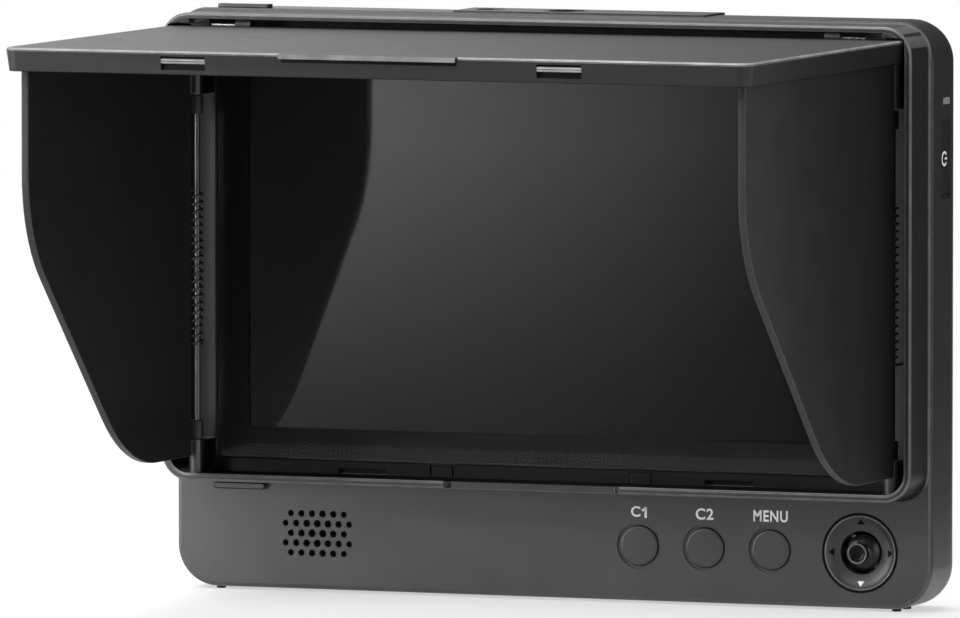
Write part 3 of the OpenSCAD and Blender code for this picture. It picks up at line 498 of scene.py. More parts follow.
# Black for pieces that stand in for shade: a painted shadow under the visor's pull and painted shade in the
# gap round the dish
SHADE_BLACK = Moulded("painted_shade_black", (0.003, 0.003, 0.003), 0.7, wear_and_highlight=0.0, gloss=0.1)
RUBBER = Moulded("soft_rubber", (0.01, 0.01, 0.0105), 0.7, grain_size=0.3 * MM, wear_and_highlight=0.1)
KEY = Moulded("satin_key", (0.02, 0.02, 0.0208), 0.42, grain_size=0.18 * MM, wear_and_highlight=0.7,
              worn=(0.08, 0.08, 0.082))
DISH = Turned("turned_dish", (0.012, 0.012, 0.0125), 0.42, wear_and_highlight=0.9, worn=(0.16, 0.16, 0.165),
              axis=STICK_AXIS)
CAP = Turned("turned_cap", (0.002, 0.002, 0.0021), 0.28, wear_and_highlight=0.9, worn=(0.16, 0.16, 0.165), gloss=0.12,
             axis=STICK_AXIS, ring_depth=0.006 * MM)
COLLAR = Moulded("glossy_collar", (0.006, 0.006, 0.0062), 0.3, grain_depth=0.002 * MM, wear_and_highlight=0.0, gloss=0.3)
MARK = Moulded("dark_mark", (0.001, 0.001, 0.001), 0.6, wear_and_highlight=0.0, gloss=0.05)
INK = Moulded("white_ink", (0.85, 0.85, 0.85), 0.5, grain_size=0.1 * MM, grain_depth=0.003 * MM, wear_and_highlight=0.0,
              variation=0.05)
MASK = Moulded("black_border", (0.0035, 0.0032, 0.0035), 0.5, grain_depth=0.001 * MM, wear_and_highlight=0.0, gloss=0.2)
BLACK_CHIP = Moulded("chip_epoxy", (0.011, 0.011, 0.0115), 0.55, wear_and_highlight=0.6)
PAD = Moulded("silicone_pad", (0.3, 0.42, 0.55), 0.8, wear_and_highlight=0.0)
LENS = Moulded("milky_lens", (0.2, 0.2, 0.205), 0.3, grain_depth=0.002 * MM, wear_and_highlight=0.0)
DIFFUSER = Moulded("light_guide", (0.75, 0.75, 0.72), 0.6, wear_and_highlight=0.0)
FLEX = Moulded("film_cable", (0.42, 0.17, 0.03), 0.35, wear_and_highlight=0.0)
GLASS = Pane("cover_pane", (1.0, 1.0, 1.0), 0.0, ior=1.2)
PANEL = Display("lit_area", (0.012, 0.012, 0.013), 0.04)
STEEL = Plated("plain_steel", (0.42, 0.42, 0.44), 0.32)
BRIGHT_STEEL = Plated("polished_pin", (0.4, 0.4, 0.41), 0.3)
SPRING = Plated("spring_steel", (0.12, 0.12, 0.125), 0.38)
DARK_STEEL = Plated("blackened_steel", (0.035, 0.035, 0.038), 0.4)
BRASS = Plated("turned_brass", (0.72, 0.55, 0.28), 0.25)
TIN = Plated("tinned_sheet", (0.62, 0.62, 0.64), 0.3)
BOARD = Circuit("circuit_board", (0.012, 0.09, 0.04), 0.4)
GRILLE = Mesh("speaker_cloth", (0.02, 0.02, 0.02), 0.8)


# Making pieces


class RubbedAndLit(Enum):
    """Which way a solid's own narrow faces slant where they get the lighter edge colour, partly scuffing and
    partly a painted highlight.
    """

    NOWHERE = 0
    FRONT = 1
    TOP = 2
    NOSE = 3

    def covers(self, normal: Vector) -> bool:
        """Tells whether a narrow face with this normal gets the lighter edge colour, scuffing with a painted
        highlight.

        Args:
            normal: the face's normal.

        Returns:
            Whether it is one.
        """
        if self is RubbedAndLit.NOSE:
            return normal.y < -0.25
        slant = {RubbedAndLit.NOWHERE: 0.0, RubbedAndLit.FRONT: abs(normal.y), RubbedAndLit.TOP: abs(normal.z)}[self]
        return 0.2 < slant < 0.98


CAD_SLOTS = {name: (piece.material_slots[0].name if piece.material_slots else "")
             for name, piece in frame["nodes"].items()}


class Assembly:
    """What each sub-assembly can do with its CAD nodes and its own pieces."""

    narrow: float = 0.5 * MM
    worn_and_lit_depth: float = 2.0 * MM
    sharp: float = 0.55

    @staticmethod
    def body_of(node: str) -> str:
        """Returns the name of a CAD node's body."""
        return frame["nodes"][node]["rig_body"]

    @staticmethod
    def slot_of(node: str) -> str:
        """Finds a CAD node's material slot.

        Args:
            node: the CAD node.

        Returns:
            The slot's name in the record.
        """
        for row in frame["record"]["materials"]:
            if node in row.get("nodes", []):
                return row["slot"]
        return CAD_SLOTS[node]

    @staticmethod
    def paint(node: str, finish: Finish) -> bpy.types.Object:
        """Gives a CAD node's own object a finish.

        Args:
            node: the CAD node.
            finish: its finish.

        Returns:
            The node's object.
        """
        piece = frame["nodes"][node]
        for holder in piece.material_slots:
            holder.material = finish.material()
        return piece

    @staticmethod
    def adopt(work: bmesh.types.BMesh, name: str, finish: Finish, body: str, nodes: Sequence[str] = (),
              slot: Optional[str] = None, crease: float = 32.0, even: bool = False) -> bpy.types.Object:
        """Turns a finished bmesh into a piece.

        Args:
            work: the mesh, which is freed.
            name: the piece's name.
            finish: its finish.
            body: the body that it rides on.
            nodes: the CAD nodes that it stands for.
            slot: the record's material slot of the nodes; not used.
            crease: the angle in degrees past which an edge stays sharp.
            even: whether its large faces are kept from shading round at their edges.

        Returns:
            The piece's object.
        """
        mesh = bpy.data.meshes.new(name)
        for face in work.faces:
            face.smooth = True
        work.to_mesh(mesh)
        work.free()
        mesh.set_sharp_from_angle(angle=math.radians(crease))
        mesh.materials.append(finish.material())
        piece = bpy.data.objects.new(name, mesh)
        bpy.context.scene.collection.objects.link(piece)
        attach(piece, body)
        if nodes:
            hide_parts(*nodes)
        if even:
            piece.modifiers.new("even_normals", "WEIGHTED_NORMAL").keep_sharp = True
        return piece

    @staticmethod
    def turned(section: Sequence[tuple[float, float]], middle: Vector, steps: int = 64) -> bmesh.types.BMesh:
        """Spins a section about an axis along the depth.

        Args:
            section: the section's points, each a radius and a place along Y, from axis to axis.
            middle: a point on the axis.
            steps: the number of steps round.

        Returns:
            The closed turned shape.
        """
        work = bmesh.new()
        points = [work.verts.new((middle.x + out, depth, middle.z)) for out, depth in section]
        lines = [work.edges.new(pair) for pair in zip(points, points[1:])]
        bmesh.ops.spin(work, geom=points + lines, cent=(middle.x, 0, middle.z), axis=(0, 1, 0),
                       angle=math.tau, steps=steps, use_merge=True)
        bmesh.ops.remove_doubles(work, verts=work.verts, dist=0.001 * MM)
        bmesh.ops.recalc_face_normals(work, faces=work.faces)
        return work

    @staticmethod
    def merged(node: str) -> bmesh.types.BMesh:
        """Copies a CAD node's mesh, with its doubles merged and its flat faces joined.

        Args:
            node: the CAD node.

        Returns:
            The copy.
        """
        work = bmesh.new()
        work.from_mesh(frame["nodes"][node].data)
        bmesh.ops.remove_doubles(work, verts=work.verts, dist=0.002 * MM)
        bmesh.ops.dissolve_limit(work, angle_limit=math.radians(0.4), use_dissolve_boundaries=False,
                                 verts=work.verts, edges=work.edges, delimit={"NORMAL"})
        return work

    def soften(self, node: str, finish: Finish, width: float = 0.12 * MM, segments: int = 2,
               rubbed_and_lit: RubbedAndLit = RubbedAndLit.NOWHERE, top: float = math.inf) -> bpy.types.Object:
        """Makes a copy of a CAD node with its sharp edges broken, and shows it in the node's place.

        Args:
            node: the CAD node.
            finish: the copy's finish.
            width: how far each edge is broken.
            segments: the number of steps across a broken edge.
            rubbed_and_lit: which of the solid's own narrow faces get the lighter edge colour, scuffing with a
                painted highlight.
            top: the height above which edges are left as they are.

        Returns:
            The copy's object.
        """
        work = self.merged(node)
        layer = work.faces.layers.float.new("edge")
        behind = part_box(node)[0].y + self.worn_and_lit_depth if rubbed_and_lit is RubbedAndLit.FRONT else math.inf
        # Narrow faces that slant the given way get the lighter edge colour: scuffing with a painted highlight
        for face in work.faces:
            longest = max(edge.calc_length() for edge in face.edges)
            narrow = face.calc_area() < self.narrow * longest and face.calc_center_median().y < behind
            face[layer] = 1.0 if narrow and rubbed_and_lit.covers(face.normal) else 0.0
        if width > 0:
            wide = [face for face in work.faces if len(face.verts) > 4]
            bmesh.ops.triangulate(work, faces=wide, quad_method="BEAUTY", ngon_method="BEAUTY")
            sharp = [edge for edge in work.edges
                     if edge.is_manifold and edge.calc_face_angle(0.0) > self.sharp
                     and max(vert.co.z for vert in edge.verts) < top]
            made = bmesh.ops.bevel(work, geom=sharp, offset=width, offset_type="OFFSET", segments=segments,
                                   profile=0.5, affect="EDGES", material=-1, clamp_overlap=False,
                                   loop_slide=True)
            # Broken edges get the lighter edge colour too: scuffing with a painted highlight
            for face in made["faces"]:
                face[layer] = 1.0
        return self.adopt(work, f"{node}_piece", finish, self.body_of(node), [node], self.slot_of(node),
                          even=True)

    @staticmethod
    def masks(piece: bpy.types.Object) -> tuple[Any, Any]:
        """Returns a softened piece's edge values and new values of painted shade, one a face."""
        inside = piece.data.attributes.new("inside", "FLOAT", "FACE")
        return piece.data.attributes["edge"].data, inside.data


@dataclass
class BodyShells(Assembly):
    """The two halves of the body with their screws, feet, threaded holes and the hood's catches."""

    edge: float = 0.12 * MM
    gap_shade: float = 0.16 * MM

    def build(self) -> list[bpy.types.Object]:
        """Builds and dresses the shells.

        Returns:
            The pieces, in order.
        """
        return [
            self.soften("front_housing", HOUSING, 0.0, rubbed_and_lit=RubbedAndLit.FRONT),
            self.soften("rear_housing", HOUSING, self.edge),
            self.catches(),
            self.soften("rear_screws", DARK_STEEL, 0.0),
            self.soften("feet", RUBBER, 0.08 * MM),
            self.soften("top_thread_insert", DARK_STEEL, 0.0),
            self.soften("base_thread_insert", BRASS, 0.0),
        ]

    def catches(self) -> bpy.types.Object:
        """Softens the hood's catches, with a painted shadow in the gap all round each.

        Returns:
            The catches.
        """
        piece = self.soften("hood_catches", HOUSING, self.gap_shade, 3)
        edge, gap_shade = self.masks(piece)
        # Painted shadow in the gap round each catch: its broken edges are darkened
        for face in piece.data.polygons:
            gap_shade[face.index].value = edge[face.index].value
            edge[face.index].value = 0.0
        return piece


@dataclass
class SunHood(Assembly):
    """The frame round the screen, the visor and the two sprung side flaps."""

    edge: float = 0.12 * MM
    lip: float = 0.25 * MM
    ring_gap: float = 0.4 * MM
    ring_wall: float = 2.0 * MM
    ring_front: float = 0.6 * MM
    inwards: float = 3.0 * MM
    post: float = 1.65 * MM
    post_back: float = 3.4 * MM
    pull: tuple[float, float] = (-16.5 * MM, 15.2 * MM)
    pull_out: float = 1.1 * MM
    pull_top: float = 0.85 * MM
    pull_painted_highlight: float = 0.7
    rim: float = 4.0 * MM
    pull_shadow_size: tuple[float, float] = (0.36 * MM, 0.65 * MM)
    slots: float = 45 * MM
    slot_back: tuple[float, float] = (0.7 * MM, 2.0 * MM)
    slot_top: float = 0.7 * MM
    wire: float = 0.4 * MM
    wire_gap: float = 0.15 * MM
    wire_sides: int = 10
    turns: int = 20
    steps: int = 20

    def build(self) -> list[bpy.types.Object]:
        """Builds and dresses the hood.

        Returns:
            The pieces, in order.
        """
        return [
            self.frame_ring(),
            self.visor(),
            self.pull_painted_shadow(),
            self.soften("visor_hinge_pins", BRIGHT_STEEL, 0.05 * MM),
            self.soften("left_flap", FLAP, 0.2 * MM, 3, RubbedAndLit.NOSE),
            self.soften("right_flap", FLAP, 0.2 * MM, 3, RubbedAndLit.NOSE),
            self.soften("left_flap_pin", SPRING, 0.0),
            self.soften("right_flap_pin", SPRING, 0.0),
            self.coil("left", -1),
            self.coil("right", 1),
        ]

    def frame_ring(self) -> bpy.types.Object:
        """Softens the frame, with painted shade within and under its rim but not on its posts, and a painted
        highlight on outer faces slanting right.

        Returns:
            The frame.
        """
        low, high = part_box("hood_frame")
        middle = (low + high) / 2
        reach = (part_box("visor")[1].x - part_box("visor")[0].x) / 2 + self.ring_gap
        pin_low, pin_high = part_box("right_flap_pin")
        post_x, post_y = (pin_low.x + pin_high.x) / 2, pin_high.y + self.post_back
        piece = self.soften("hood_frame", HOOD, self.edge, rubbed_and_lit=RubbedAndLit.FRONT)
        edge, inside = self.masks(piece)
        for face in piece.data.polygons:
            place, normal = face.center, face.normal
            inwards = Vector((middle.x - place.x, 0, middle.z - place.z)).dot(normal) > self.inwards
            level = low.z + self.ring_wall < place.z < high.z - self.ring_wall
            within = abs(place.x) < reach and level
            post = abs(abs(place.x) - post_x) < self.post and place.y < post_y
            deep = place.y > low.y + self.ring_front and not post
            outer = place.y > low.y + self.worn_and_lit_depth and not within
            below = outer and normal.z < -0.3
            # Painted shade on walls within the rim, on the base behind it and on outer undersides
            inside[face.index].value = float(below or (deep and (inwards or (within and normal.y < -0.5))))
            # Outer faces slanting to the right get a painted highlight
            if outer and 0.3 < normal.x < 0.95:
                edge[face.index].value = 1.0
        return piece

    def visor(self) -> bpy.types.Object:
        """Softens the visor, with a painted highlight on its pull's front and painted shade in its slots and
        along its lower edge.

        Returns:
            The visor.
        """
        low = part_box("visor")[0]
        piece = self.soften("visor", VISOR, self.edge, rubbed_and_lit=RubbedAndLit.TOP, top=low.z + 0.1 * MM)
        edge, visor_shade = self.masks(piece)
        near, far = [low.y + self.pull_out + back for back in self.slot_back]
        top = low.z + self.rim - self.slot_top
        for face in piece.data.polygons:
            place = face.center
            slot = near < place.y < far and abs(place.x) < self.slots and place.z < top
            # Painted shade in the slots and along the lower edge, and a painted highlight on the pull's front
            dark = place.z < low.z + self.lip or slot
            visor_shade[face.index].value = float(dark)
            if dark:
                edge[face.index].value = 0.0
            elif place.y < low.y + 0.05 * MM:
                edge[face.index].value = self.pull_painted_highlight
        return piece

    def pull_painted_shadow(self) -> bpy.types.Object:
        """Lays a black strip under the visor's pull as a painted shadow under the lip.

        Returns:
            The strip.
        """
        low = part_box("visor")[0]
        left, right = self.pull
        thick, tall = self.pull_shadow_size
        top = low.z + self.rim - self.pull_top
        middle = ((left + right) / 2, low.y + self.pull_out - HAIR, top - tall / 2)
        size = Matrix.Diagonal((right - left - 0.4 * MM, thick, tall, 1))
        work = bmesh.new()
        bmesh.ops.create_cube(work, size=1.0, matrix=Matrix.Translation(middle) @ size)
        bmesh.ops.bevel(work, geom=work.edges, offset=0.08 * MM, segments=2, profile=0.5, affect="EDGES",
                        material=-1)
        return self.adopt(work, "pull_painted_shadow", SHADE_BLACK, "visor")

    def coil(self, side: str, sign: int) -> bpy.types.Object:
        """Winds the wire of a flap spring round the flap's pin.

        Args:
            side: "left" or "right".
            sign: -1 for left and 1 for right.

        Returns:
            The spring's object.
        """
        node = f"{side}_flap_spring"
        low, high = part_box(node)
        pin_low, pin_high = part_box(f"{side}_flap_pin")
        axis = (pin_low + pin_high) / 2
        radius = self.wire / 2
        coil_r = (pin_high.x - pin_low.x) / 2 + radius + self.wire_gap
        start = Vector((axis.x + sign * coil_r, axis.y, low.z + radius))
        rise = high.z - low.z - 2 * radius
        work = bmesh.new()
        ring = bmesh.ops.create_circle(work, segments=self.wire_sides, radius=radius,
                                       matrix=Matrix.Translation(start) @ UPRIGHT)
        first = list(work.edges)
        count = self.turns * self.steps
        spun = bmesh.ops.spin(work, geom=ring["verts"] + first, cent=(axis.x, axis.y, start.z),
                              axis=(0, 0, 1), dvec=(0, 0, rise / count),
                              angle=-sign * math.tau * self.turns, steps=count, use_merge=False)
        last = [item for item in spun["geom_last"] if isinstance(item, bmesh.types.BMEdge)]
        self.leg(work, first, Vector((0, high.y - axis.y, 0)))
        self.leg(work, last, Vector((0, low.y - axis.y, 0)))
        bmesh.ops.remove_doubles(work, verts=work.verts, dist=0.001 * MM)
        bmesh.ops.recalc_face_normals(work, faces=work.faces)
        return self.adopt(work, f"{side}_wound_spring", SPRING, self.body_of(node), [node],
                          self.slot_of(node), 60)

    @staticmethod
    def leg(work: bmesh.types.BMesh, rim: list[bmesh.types.BMEdge], way: Vector) -> None:
        """Draws a straight leg out of an open rim and closes its end.

        Args:
            work: the mesh.
            rim: the open rim's edges.
            way: how far and which way the leg goes.
        """
        made = bmesh.ops.extrude_edge_only(work, edges=rim)["geom"]
        verts = [item for item in made if isinstance(item, bmesh.types.BMVert)]
        edges = [item for item in made if isinstance(item, bmesh.types.BMEdge)
                 and all(vert in verts for vert in item.verts)]
        bmesh.ops.translate(work, verts=verts, vec=way)
        bmesh.ops.edgeloop_fill(work, edges=edges)


@dataclass
class Screen(Assembly):
    """The cover glass with its printed border, the display behind it and what carries it."""

    lit: tuple[float, float] = (110.7 * MM, 62.3 * MM)
    ink: float = 0.02 * MM
    bare: float = 0.5 * MM

    def build(self) -> list[bpy.types.Object]:
        """Builds and dresses the screen.

        Returns:
            The pieces, in order.
        """
        return [
            self.soften("cover_glass", GLASS, 0.0),
            self.border(),
            self.paint("glass_gasket", RUBBER),
            self.paint("lcd_panel", PANEL),
            self.paint("backlight", DIFFUSER),
            self.soften("lcd_bracket", TIN, 0.0),
            self.paint("lcd_flex", FLEX),
        ]

    def border(self) -> bpy.types.Object:
        """Prints the black border on the back of the cover glass.

        Returns:
            The border.
        """
        low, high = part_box("cover_glass")
        mid = (low + high) / 2
        work = bmesh.new()
        plane = Matrix.Translation((mid.x, high.y - 1.6 * self.ink, mid.z)) @ UPRIGHT
        bmesh.ops.create_grid(work, x_segments=1, y_segments=1, size=0.5, matrix=plane)
        width, height = high.x - low.x - self.bare, high.z - low.z - self.bare
        bmesh.ops.scale(work, verts=work.verts, vec=(width, 1, height), space=Matrix.Translation(-mid))
        rim = bmesh.ops.inset_region(work, faces=work.faces, thickness=(width - self.lit[0]) / 2,
                                     use_boundary=True, use_even_offset=True)["faces"]
        centre = [face for face in work.faces if face not in rim]
        bmesh.ops.scale(work, verts=centre[0].verts, vec=(1, 1, self.lit[1] / (height - width + self.lit[0])),
                        space=Matrix.Translation(-mid))
        bmesh.ops.delete(work, geom=centre, context="FACES")
        bmesh.ops.solidify(work, geom=work.faces, thickness=self.ink)
        bmesh.ops.recalc_face_normals(work, faces=work.faces)
        return self.adopt(work, "glass_border", MASK, self.body_of("cover_glass"))


class Pointer(Enum):
    """The way in which a mark round the joystick points, as degrees from up."""

    UP = 0.0
    RIGHT = 90.0
    DOWN = 180.0
    LEFT = 270.0


@dataclass
class Controls(Assembly):
    """The three keys with their legends, and the joystick in its dish."""

    legend_rise: float = 5.8 * MM
    legend_height: float = 1.97 * MM
    stroke: float = 0.42 * MM
    strip_y: float = -7.5 * MM
    ink: float = 0.02 * MM
    dish_r: float = 6.85 * MM
    shade_ring_w: float = 0.42 * MM
    hole_r: float = 3.7 * MM
    mark_radius: float = 5.2 * MM
    mark_size: float = 0.75 * MM
    mark_t: float = 0.12 * MM
    mark_lean: float = math.radians(16)
    mark_sunk: float = 0.4 * MM
    shade_ring_sunk: float = 0.22 * MM
    shade_ring_t: float = 0.6 * MM
    legends: tuple[tuple[str, float], ...] = (("C1", 2.9 * MM), ("C2", 3.25 * MM), ("MENU", 6.25 * MM))

    def build(self) -> list[bpy.types.Object]:
        """Builds and dresses the controls.

        Returns:
            The pieces, in order.
        """
        made = []
        for number, (words, width) in enumerate(self.legends, start=1):
            made.append(self.soften(f"button_{number}", KEY, 0.06 * MM))
            made.append(self.legend(f"button_{number}", words, width))
        made += [
            self.bezel(),
            self.gap_shade_ring(),
            self.cap(),
            self.soften("joystick_stick", COLLAR, 0.0),
            self.soften("joystick_gimbal", STEEL, 0.0),
            self.paint("joystick_base", BLACK_CHIP),
            self.paint("key_board", BOARD),
            self.paint("key_switches", BLACK_CHIP),
        ]
        made += [self.mark(way) for way in Pointer]
        return made

    @staticmethod
    def rub_and_light(work: bmesh.types.BMesh, inner: float, back: float) -> None:
        """Marks the front faces of a shape turned about the joystick with the lighter edge colour, scuffing
        with a painted highlight.

        Args:
            work: the turned shape.
            inner: the radius past which faces are marked.
            back: the place along Y in front of which they are marked.
        """
        layer = work.faces.layers.float.new("edge")
        for face in work.faces:
            place = face.calc_center_median()
            out = math.hypot(place.x - STICK_AXIS[0], place.z - STICK_AXIS[1])
            face[layer] = float(out > inner and place.y < back)

    def bezel(self) -> bpy.types.Object:
        """Turns the joystick's dish with its thin raised rim.

        Returns:
            The piece's object.
        """
        low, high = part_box("joystick_bezel")
        rim, flange, hole = self.dish_r - self.shade_ring_w, (high.x - low.x) / 2, self.hole_r
        front = self.strip_y
        section = [(hole, high.y), (hole, front + 0.75 * MM), (hole + 0.05 * MM, front + 0.68 * MM),
                   ((rim + hole) / 2, front + 0.55 * MM), (rim - 1.0 * MM, front + 0.38 * MM),
                   (rim - 0.28 * MM, front + 0.05 * MM), (rim - 0.2 * MM, front - 0.04 * MM),
                   (rim - 0.06 * MM, front - 0.07 * MM), (rim, front + 0.02 * MM), (rim, high.y - 0.5 * MM),
                   (flange, high.y - 0.5 * MM), (flange, high.y), (hole, high.y)]
        work = self.turned(section, (low + high) / 2, 96)
        # The dish's rim gets a painted highlight as a lighter ring
        self.rub_and_light(work, rim - 0.3 * MM, front + 0.04 * MM)
        return self.adopt(work, "joystick_dish", DISH, "monitor", ["joystick_bezel"],
                          self.slot_of("joystick_bezel"))

    def gap_shade_ring(self) -> bpy.types.Object:
        """Lays a black ring round the joystick's dish as painted shade in the gap to the housing.

        Returns:
            The piece's object.
        """
        inner, outer = self.dish_r - self.shade_ring_w, self.dish_r - HAIR
        front = self.strip_y + self.shade_ring_sunk
        back = front + self.shade_ring_t
        section = [(inner, back), (inner, front), (outer, front), (outer, back), (inner, back)]
        work = self.turned(section, Vector((STICK_AXIS[0], 0, STICK_AXIS[1])), 96)
        return self.adopt(work, "dish_gap_shade", SHADE_BLACK, "monitor")

    def cap(self) -> bpy.types.Object:
        """Turns the joystick's cap, dished in front with a thin rim.

        Returns:
            The piece's object.
        """
        low, high = STICK_LOW, STICK_HIGH
        out = (high.x - low.x) / 2
        section = [(0, 0.5), (0.45, 0.46), (0.7, 0.34), (0.8, 0.16), (0.85, 0.03), (0.9, 0.0), (0.955, 0.03),
                   (1.0, 0.16), (1.0, 1.05), (0.85, 1.3), (0.32, 1.3)]
        points = [(out * share, low.y + back * MM) for share, back in section]
        work = self.turned(points + [(0.32 * out, high.y), (0, high.y)], (low + high) / 2)
        # The cap's rim gets a painted highlight as a lighter ring
        self.rub_and_light(work, 0.82 * out, low.y + 0.2 * MM)
        return self.adopt(work, "joystick_cap_piece", CAP, self.body_of("joystick_cap"), ["joystick_cap"],
                          self.slot_of("joystick_cap"))

    def numeral(self, work: bmesh.types.BMesh, start: float) -> None:
        """Adds the numeral one to a flat legend as an upright bar and a short flag.

        Args:
            work: the legend's mesh, lying in X and Y.
            start: where the numeral starts along X.
        """
        tall, line = self.legend_height, self.stroke
        bar = ((start + 1.9 * line, 0), (line, tall), 0.0)
        flag = ((start + 1.15 * line, tall / 2 - 1.05 * line), (line * 0.9, 2.1 * line), -50.0)
        for middle, size, turn in (bar, flag):
            place = Matrix.Translation((*middle, 0)) @ Matrix.Rotation(math.radians(turn), 4, "Z")
            bmesh.ops.create_cube(work, size=1.0, matrix=place @ Matrix.Diagonal((*size, 2 * self.ink, 1)))

    def legend(self, node: str, words: str, width: float) -> bpy.types.Object:
        """Prints a key's legend above it.

        Args:
            node: the key's CAD node.
            words: what the legend says.
            width: the legend's width.

        Returns:
            The legend's object.
        """
        low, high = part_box(node)
        curve = bpy.data.curves.new(f"text_{node}", "FONT")
        curve.body = words.replace("1", "")
        curve.align_x, curve.align_y = "CENTER", "CENTER"
        curve.size = self.legend_height * 1.3
        curve.offset = 0.06 * MM
        curve.space_character = 1.12
        curve.extrude = self.ink
        curve.resolution_u = 6
        holder = bpy.data.objects.new("text", curve)
        bpy.context.scene.collection.objects.link(holder)
        bpy.context.view_layer.update()
        shape = bpy.data.meshes.new_from_object(holder.evaluated_get(bpy.context.evaluated_depsgraph_get()))
        bpy.data.objects.remove(holder)
        work = bmesh.new()
        work.from_mesh(shape)
        bmesh.ops.remove_doubles(work, verts=work.verts, dist=0.0001 * MM)
        if "1" in words:
            self.numeral(work, max(vert.co.x for vert in work.verts) + 0.15 * MM)
        across, upward = [(min(places), max(places)) for places in
                          ([vert.co.x for vert in work.verts], [vert.co.y for vert in work.verts])]
        bmesh.ops.translate(work, verts=work.verts, vec=(-sum(across) / 2, -sum(upward) / 2, 0))
        bmesh.ops.scale(work, verts=work.verts, vec=(width / (across[1] - across[0]),
                                                     self.legend_height / (upward[1] - upward[0]), 1))
        middle = (low + high) / 2
        place = Matrix.Translation((middle.x, self.strip_y, middle.z + self.legend_rise))
        bmesh.ops.transform(work, matrix=place @ UPRIGHT, verts=work.verts)
        return self.adopt(work, f"legend_{words.lower()}", INK, "monitor")

    def mark(self, way: Pointer) -> bpy.types.Object:
        """Makes one small triangle on the joystick's dish.

        Args:
            way: the way in which it points.

        Returns:
            The mark's object.
        """
        low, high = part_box("joystick_bezel")
        mid = (low + high) / 2
        work = bmesh.new()
        bmesh.ops.create_cone(work, cap_ends=True, segments=3, radius1=self.mark_size,
                              radius2=self.mark_size * 0.7, depth=self.mark_t, matrix=UPRIGHT)
        lean = Matrix.Rotation(self.mark_lean, 4, "X")
        out = Matrix.Translation((0, self.strip_y + self.mark_sunk, self.mark_radius))
        turn = Matrix.Rotation(math.radians(way.value), 4, "Y")
        place = Matrix.Translation((mid.x, 0, mid.z)) @ turn @ out @ lean
        bmesh.ops.transform(work, matrix=place, verts=work.verts)
        bmesh.ops.recalc_face_normals(work, faces=work.faces)
        # The downward mark takes the white ink as a painted highlight; the other three stay dark
        finish = INK if way is Pointer.DOWN else MARK
        return self.adopt(work, f"joystick_mark_{way.name.lower()}", finish, "monitor")


@dataclass
class SideFittings(Assembly):
    """The speaker, the power button with its symbol and light, and the sockets behind their cover."""

    symbol_r: float = 1.12 * MM
    symbol_line: float = 0.32 * MM
    symbol_drop: float = -0.1 * MM
    symbol_shift: float = 0.65 * MM
    symbol_gap: float = math.radians(35)
    symbol_t: float = 0.05 * MM

    def build(self) -> list[bpy.types.Object]:
        """Builds and dresses the fittings.

        Returns:
            The pieces, in order.
        """
        return [
            self.paint("speaker", BLACK_CHIP),
            self.paint("speaker_mesh", GRILLE),
            self.soften("power_button", KEY, 0.1 * MM),
            self.symbol_ring(),
            self.symbol_bar(),
            self.paint("power_switch", BLACK_CHIP),
            self.soften("indicator_lens", LENS, 0.04 * MM),
            self.paint("video_sockets", TIN),
            self.soften("headphone_jack", BLACK_CHIP, 0.0),
            self.soften("port_cover", RUBBER, 0.1 * MM),
            self.soften("port_cover_pin", STEEL, 0.0),
        ]

    def symbol_place(self) -> Vector:
        """Returns the middle of the power symbol on the button's face.

        Returns:
            The symbol's middle.
        """
        low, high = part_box("power_button")
        middle = (low + high) / 2
        return Vector((high.x + HAIR, middle.y + self.symbol_shift, middle.z + self.symbol_drop))

    def symbol_ring(self) -> bpy.types.Object:
        """Makes the open ring of the power symbol.

        Returns:
            The piece's object.
        """
        work = bmesh.new()
        place = self.symbol_place()
        gap = self.symbol_gap
        start = Matrix.Rotation(gap, 4, "X") @ Matrix.Translation((0, 0, self.symbol_r))
        upright = UPRIGHT @ Matrix.Diagonal((self.symbol_t, self.symbol_line, 1, 1))
        bmesh.ops.create_grid(work, x_segments=1, y_segments=1, size=0.5, matrix=start @ upright)
        bmesh.ops.spin(work, geom=list(work.verts) + list(work.edges) + list(work.faces), cent=(0, 0, 0),
                       axis=(1, 0, 0), angle=math.tau - 2 * gap, steps=40, use_merge=False)
        bmesh.ops.recalc_face_normals(work, faces=work.faces)
        lying = Matrix.Translation(place) @ Matrix.Rotation(-math.pi / 2, 4, "X")
        bmesh.ops.transform(work, matrix=lying, verts=work.verts)
        return self.adopt(work, "power_symbol_ring", INK, "power_button")

    def symbol_bar(self) -> bpy.types.Object:
        """Makes the bar of the power symbol.

        Returns:
            The piece's object.
        """
        work = bmesh.new()
        place = self.symbol_place() + Vector((0, self.symbol_r * 0.7, 0))
        bmesh.ops.create_cube(work, size=1.0, matrix=Matrix.Translation(place) @ Matrix.Diagonal(
            (0.6 * self.symbol_t, self.symbol_r, self.symbol_line, 1)))
        bmesh.ops.bevel(work, geom=work.edges, offset=HAIR, segments=1, profile=0.5, affect="EDGES",
                        material=-1)
        return self.adopt(work, "power_symbol_bar", INK, "power_button")


@dataclass
class Internals(Assembly):
    """The boards and what sits on them."""

    def build(self) -> list[bpy.types.Object]:
        """Dresses the inner parts.

        Returns:
            The pieces, in order.
        """
        return [
            self.paint("main_board", BOARD),
            self.paint("board_screws", STEEL),
            self.paint("main_chips", BLACK_CHIP),
            self.paint("shield_can", TIN),
            self.paint("heat_pad", PAD),
        ]


@dataclass
class BatteryMount(Assembly):
    """The battery plate on the back with its contacts, latch and screws."""

    def build(self) -> list[bpy.types.Object]:
        """Builds and dresses the mount.

        Returns:
            The pieces, in order.
        """
        return [
            self.soften("battery_plate", BLACK_CHIP, 0.15 * MM),
            self.soften("battery_contacts", BRASS, 0.08 * MM),
            self.soften("battery_latch", KEY, 0.12 * MM),
            self.soften("plate_screws", STEEL, 0.0),
        ]


# Studio


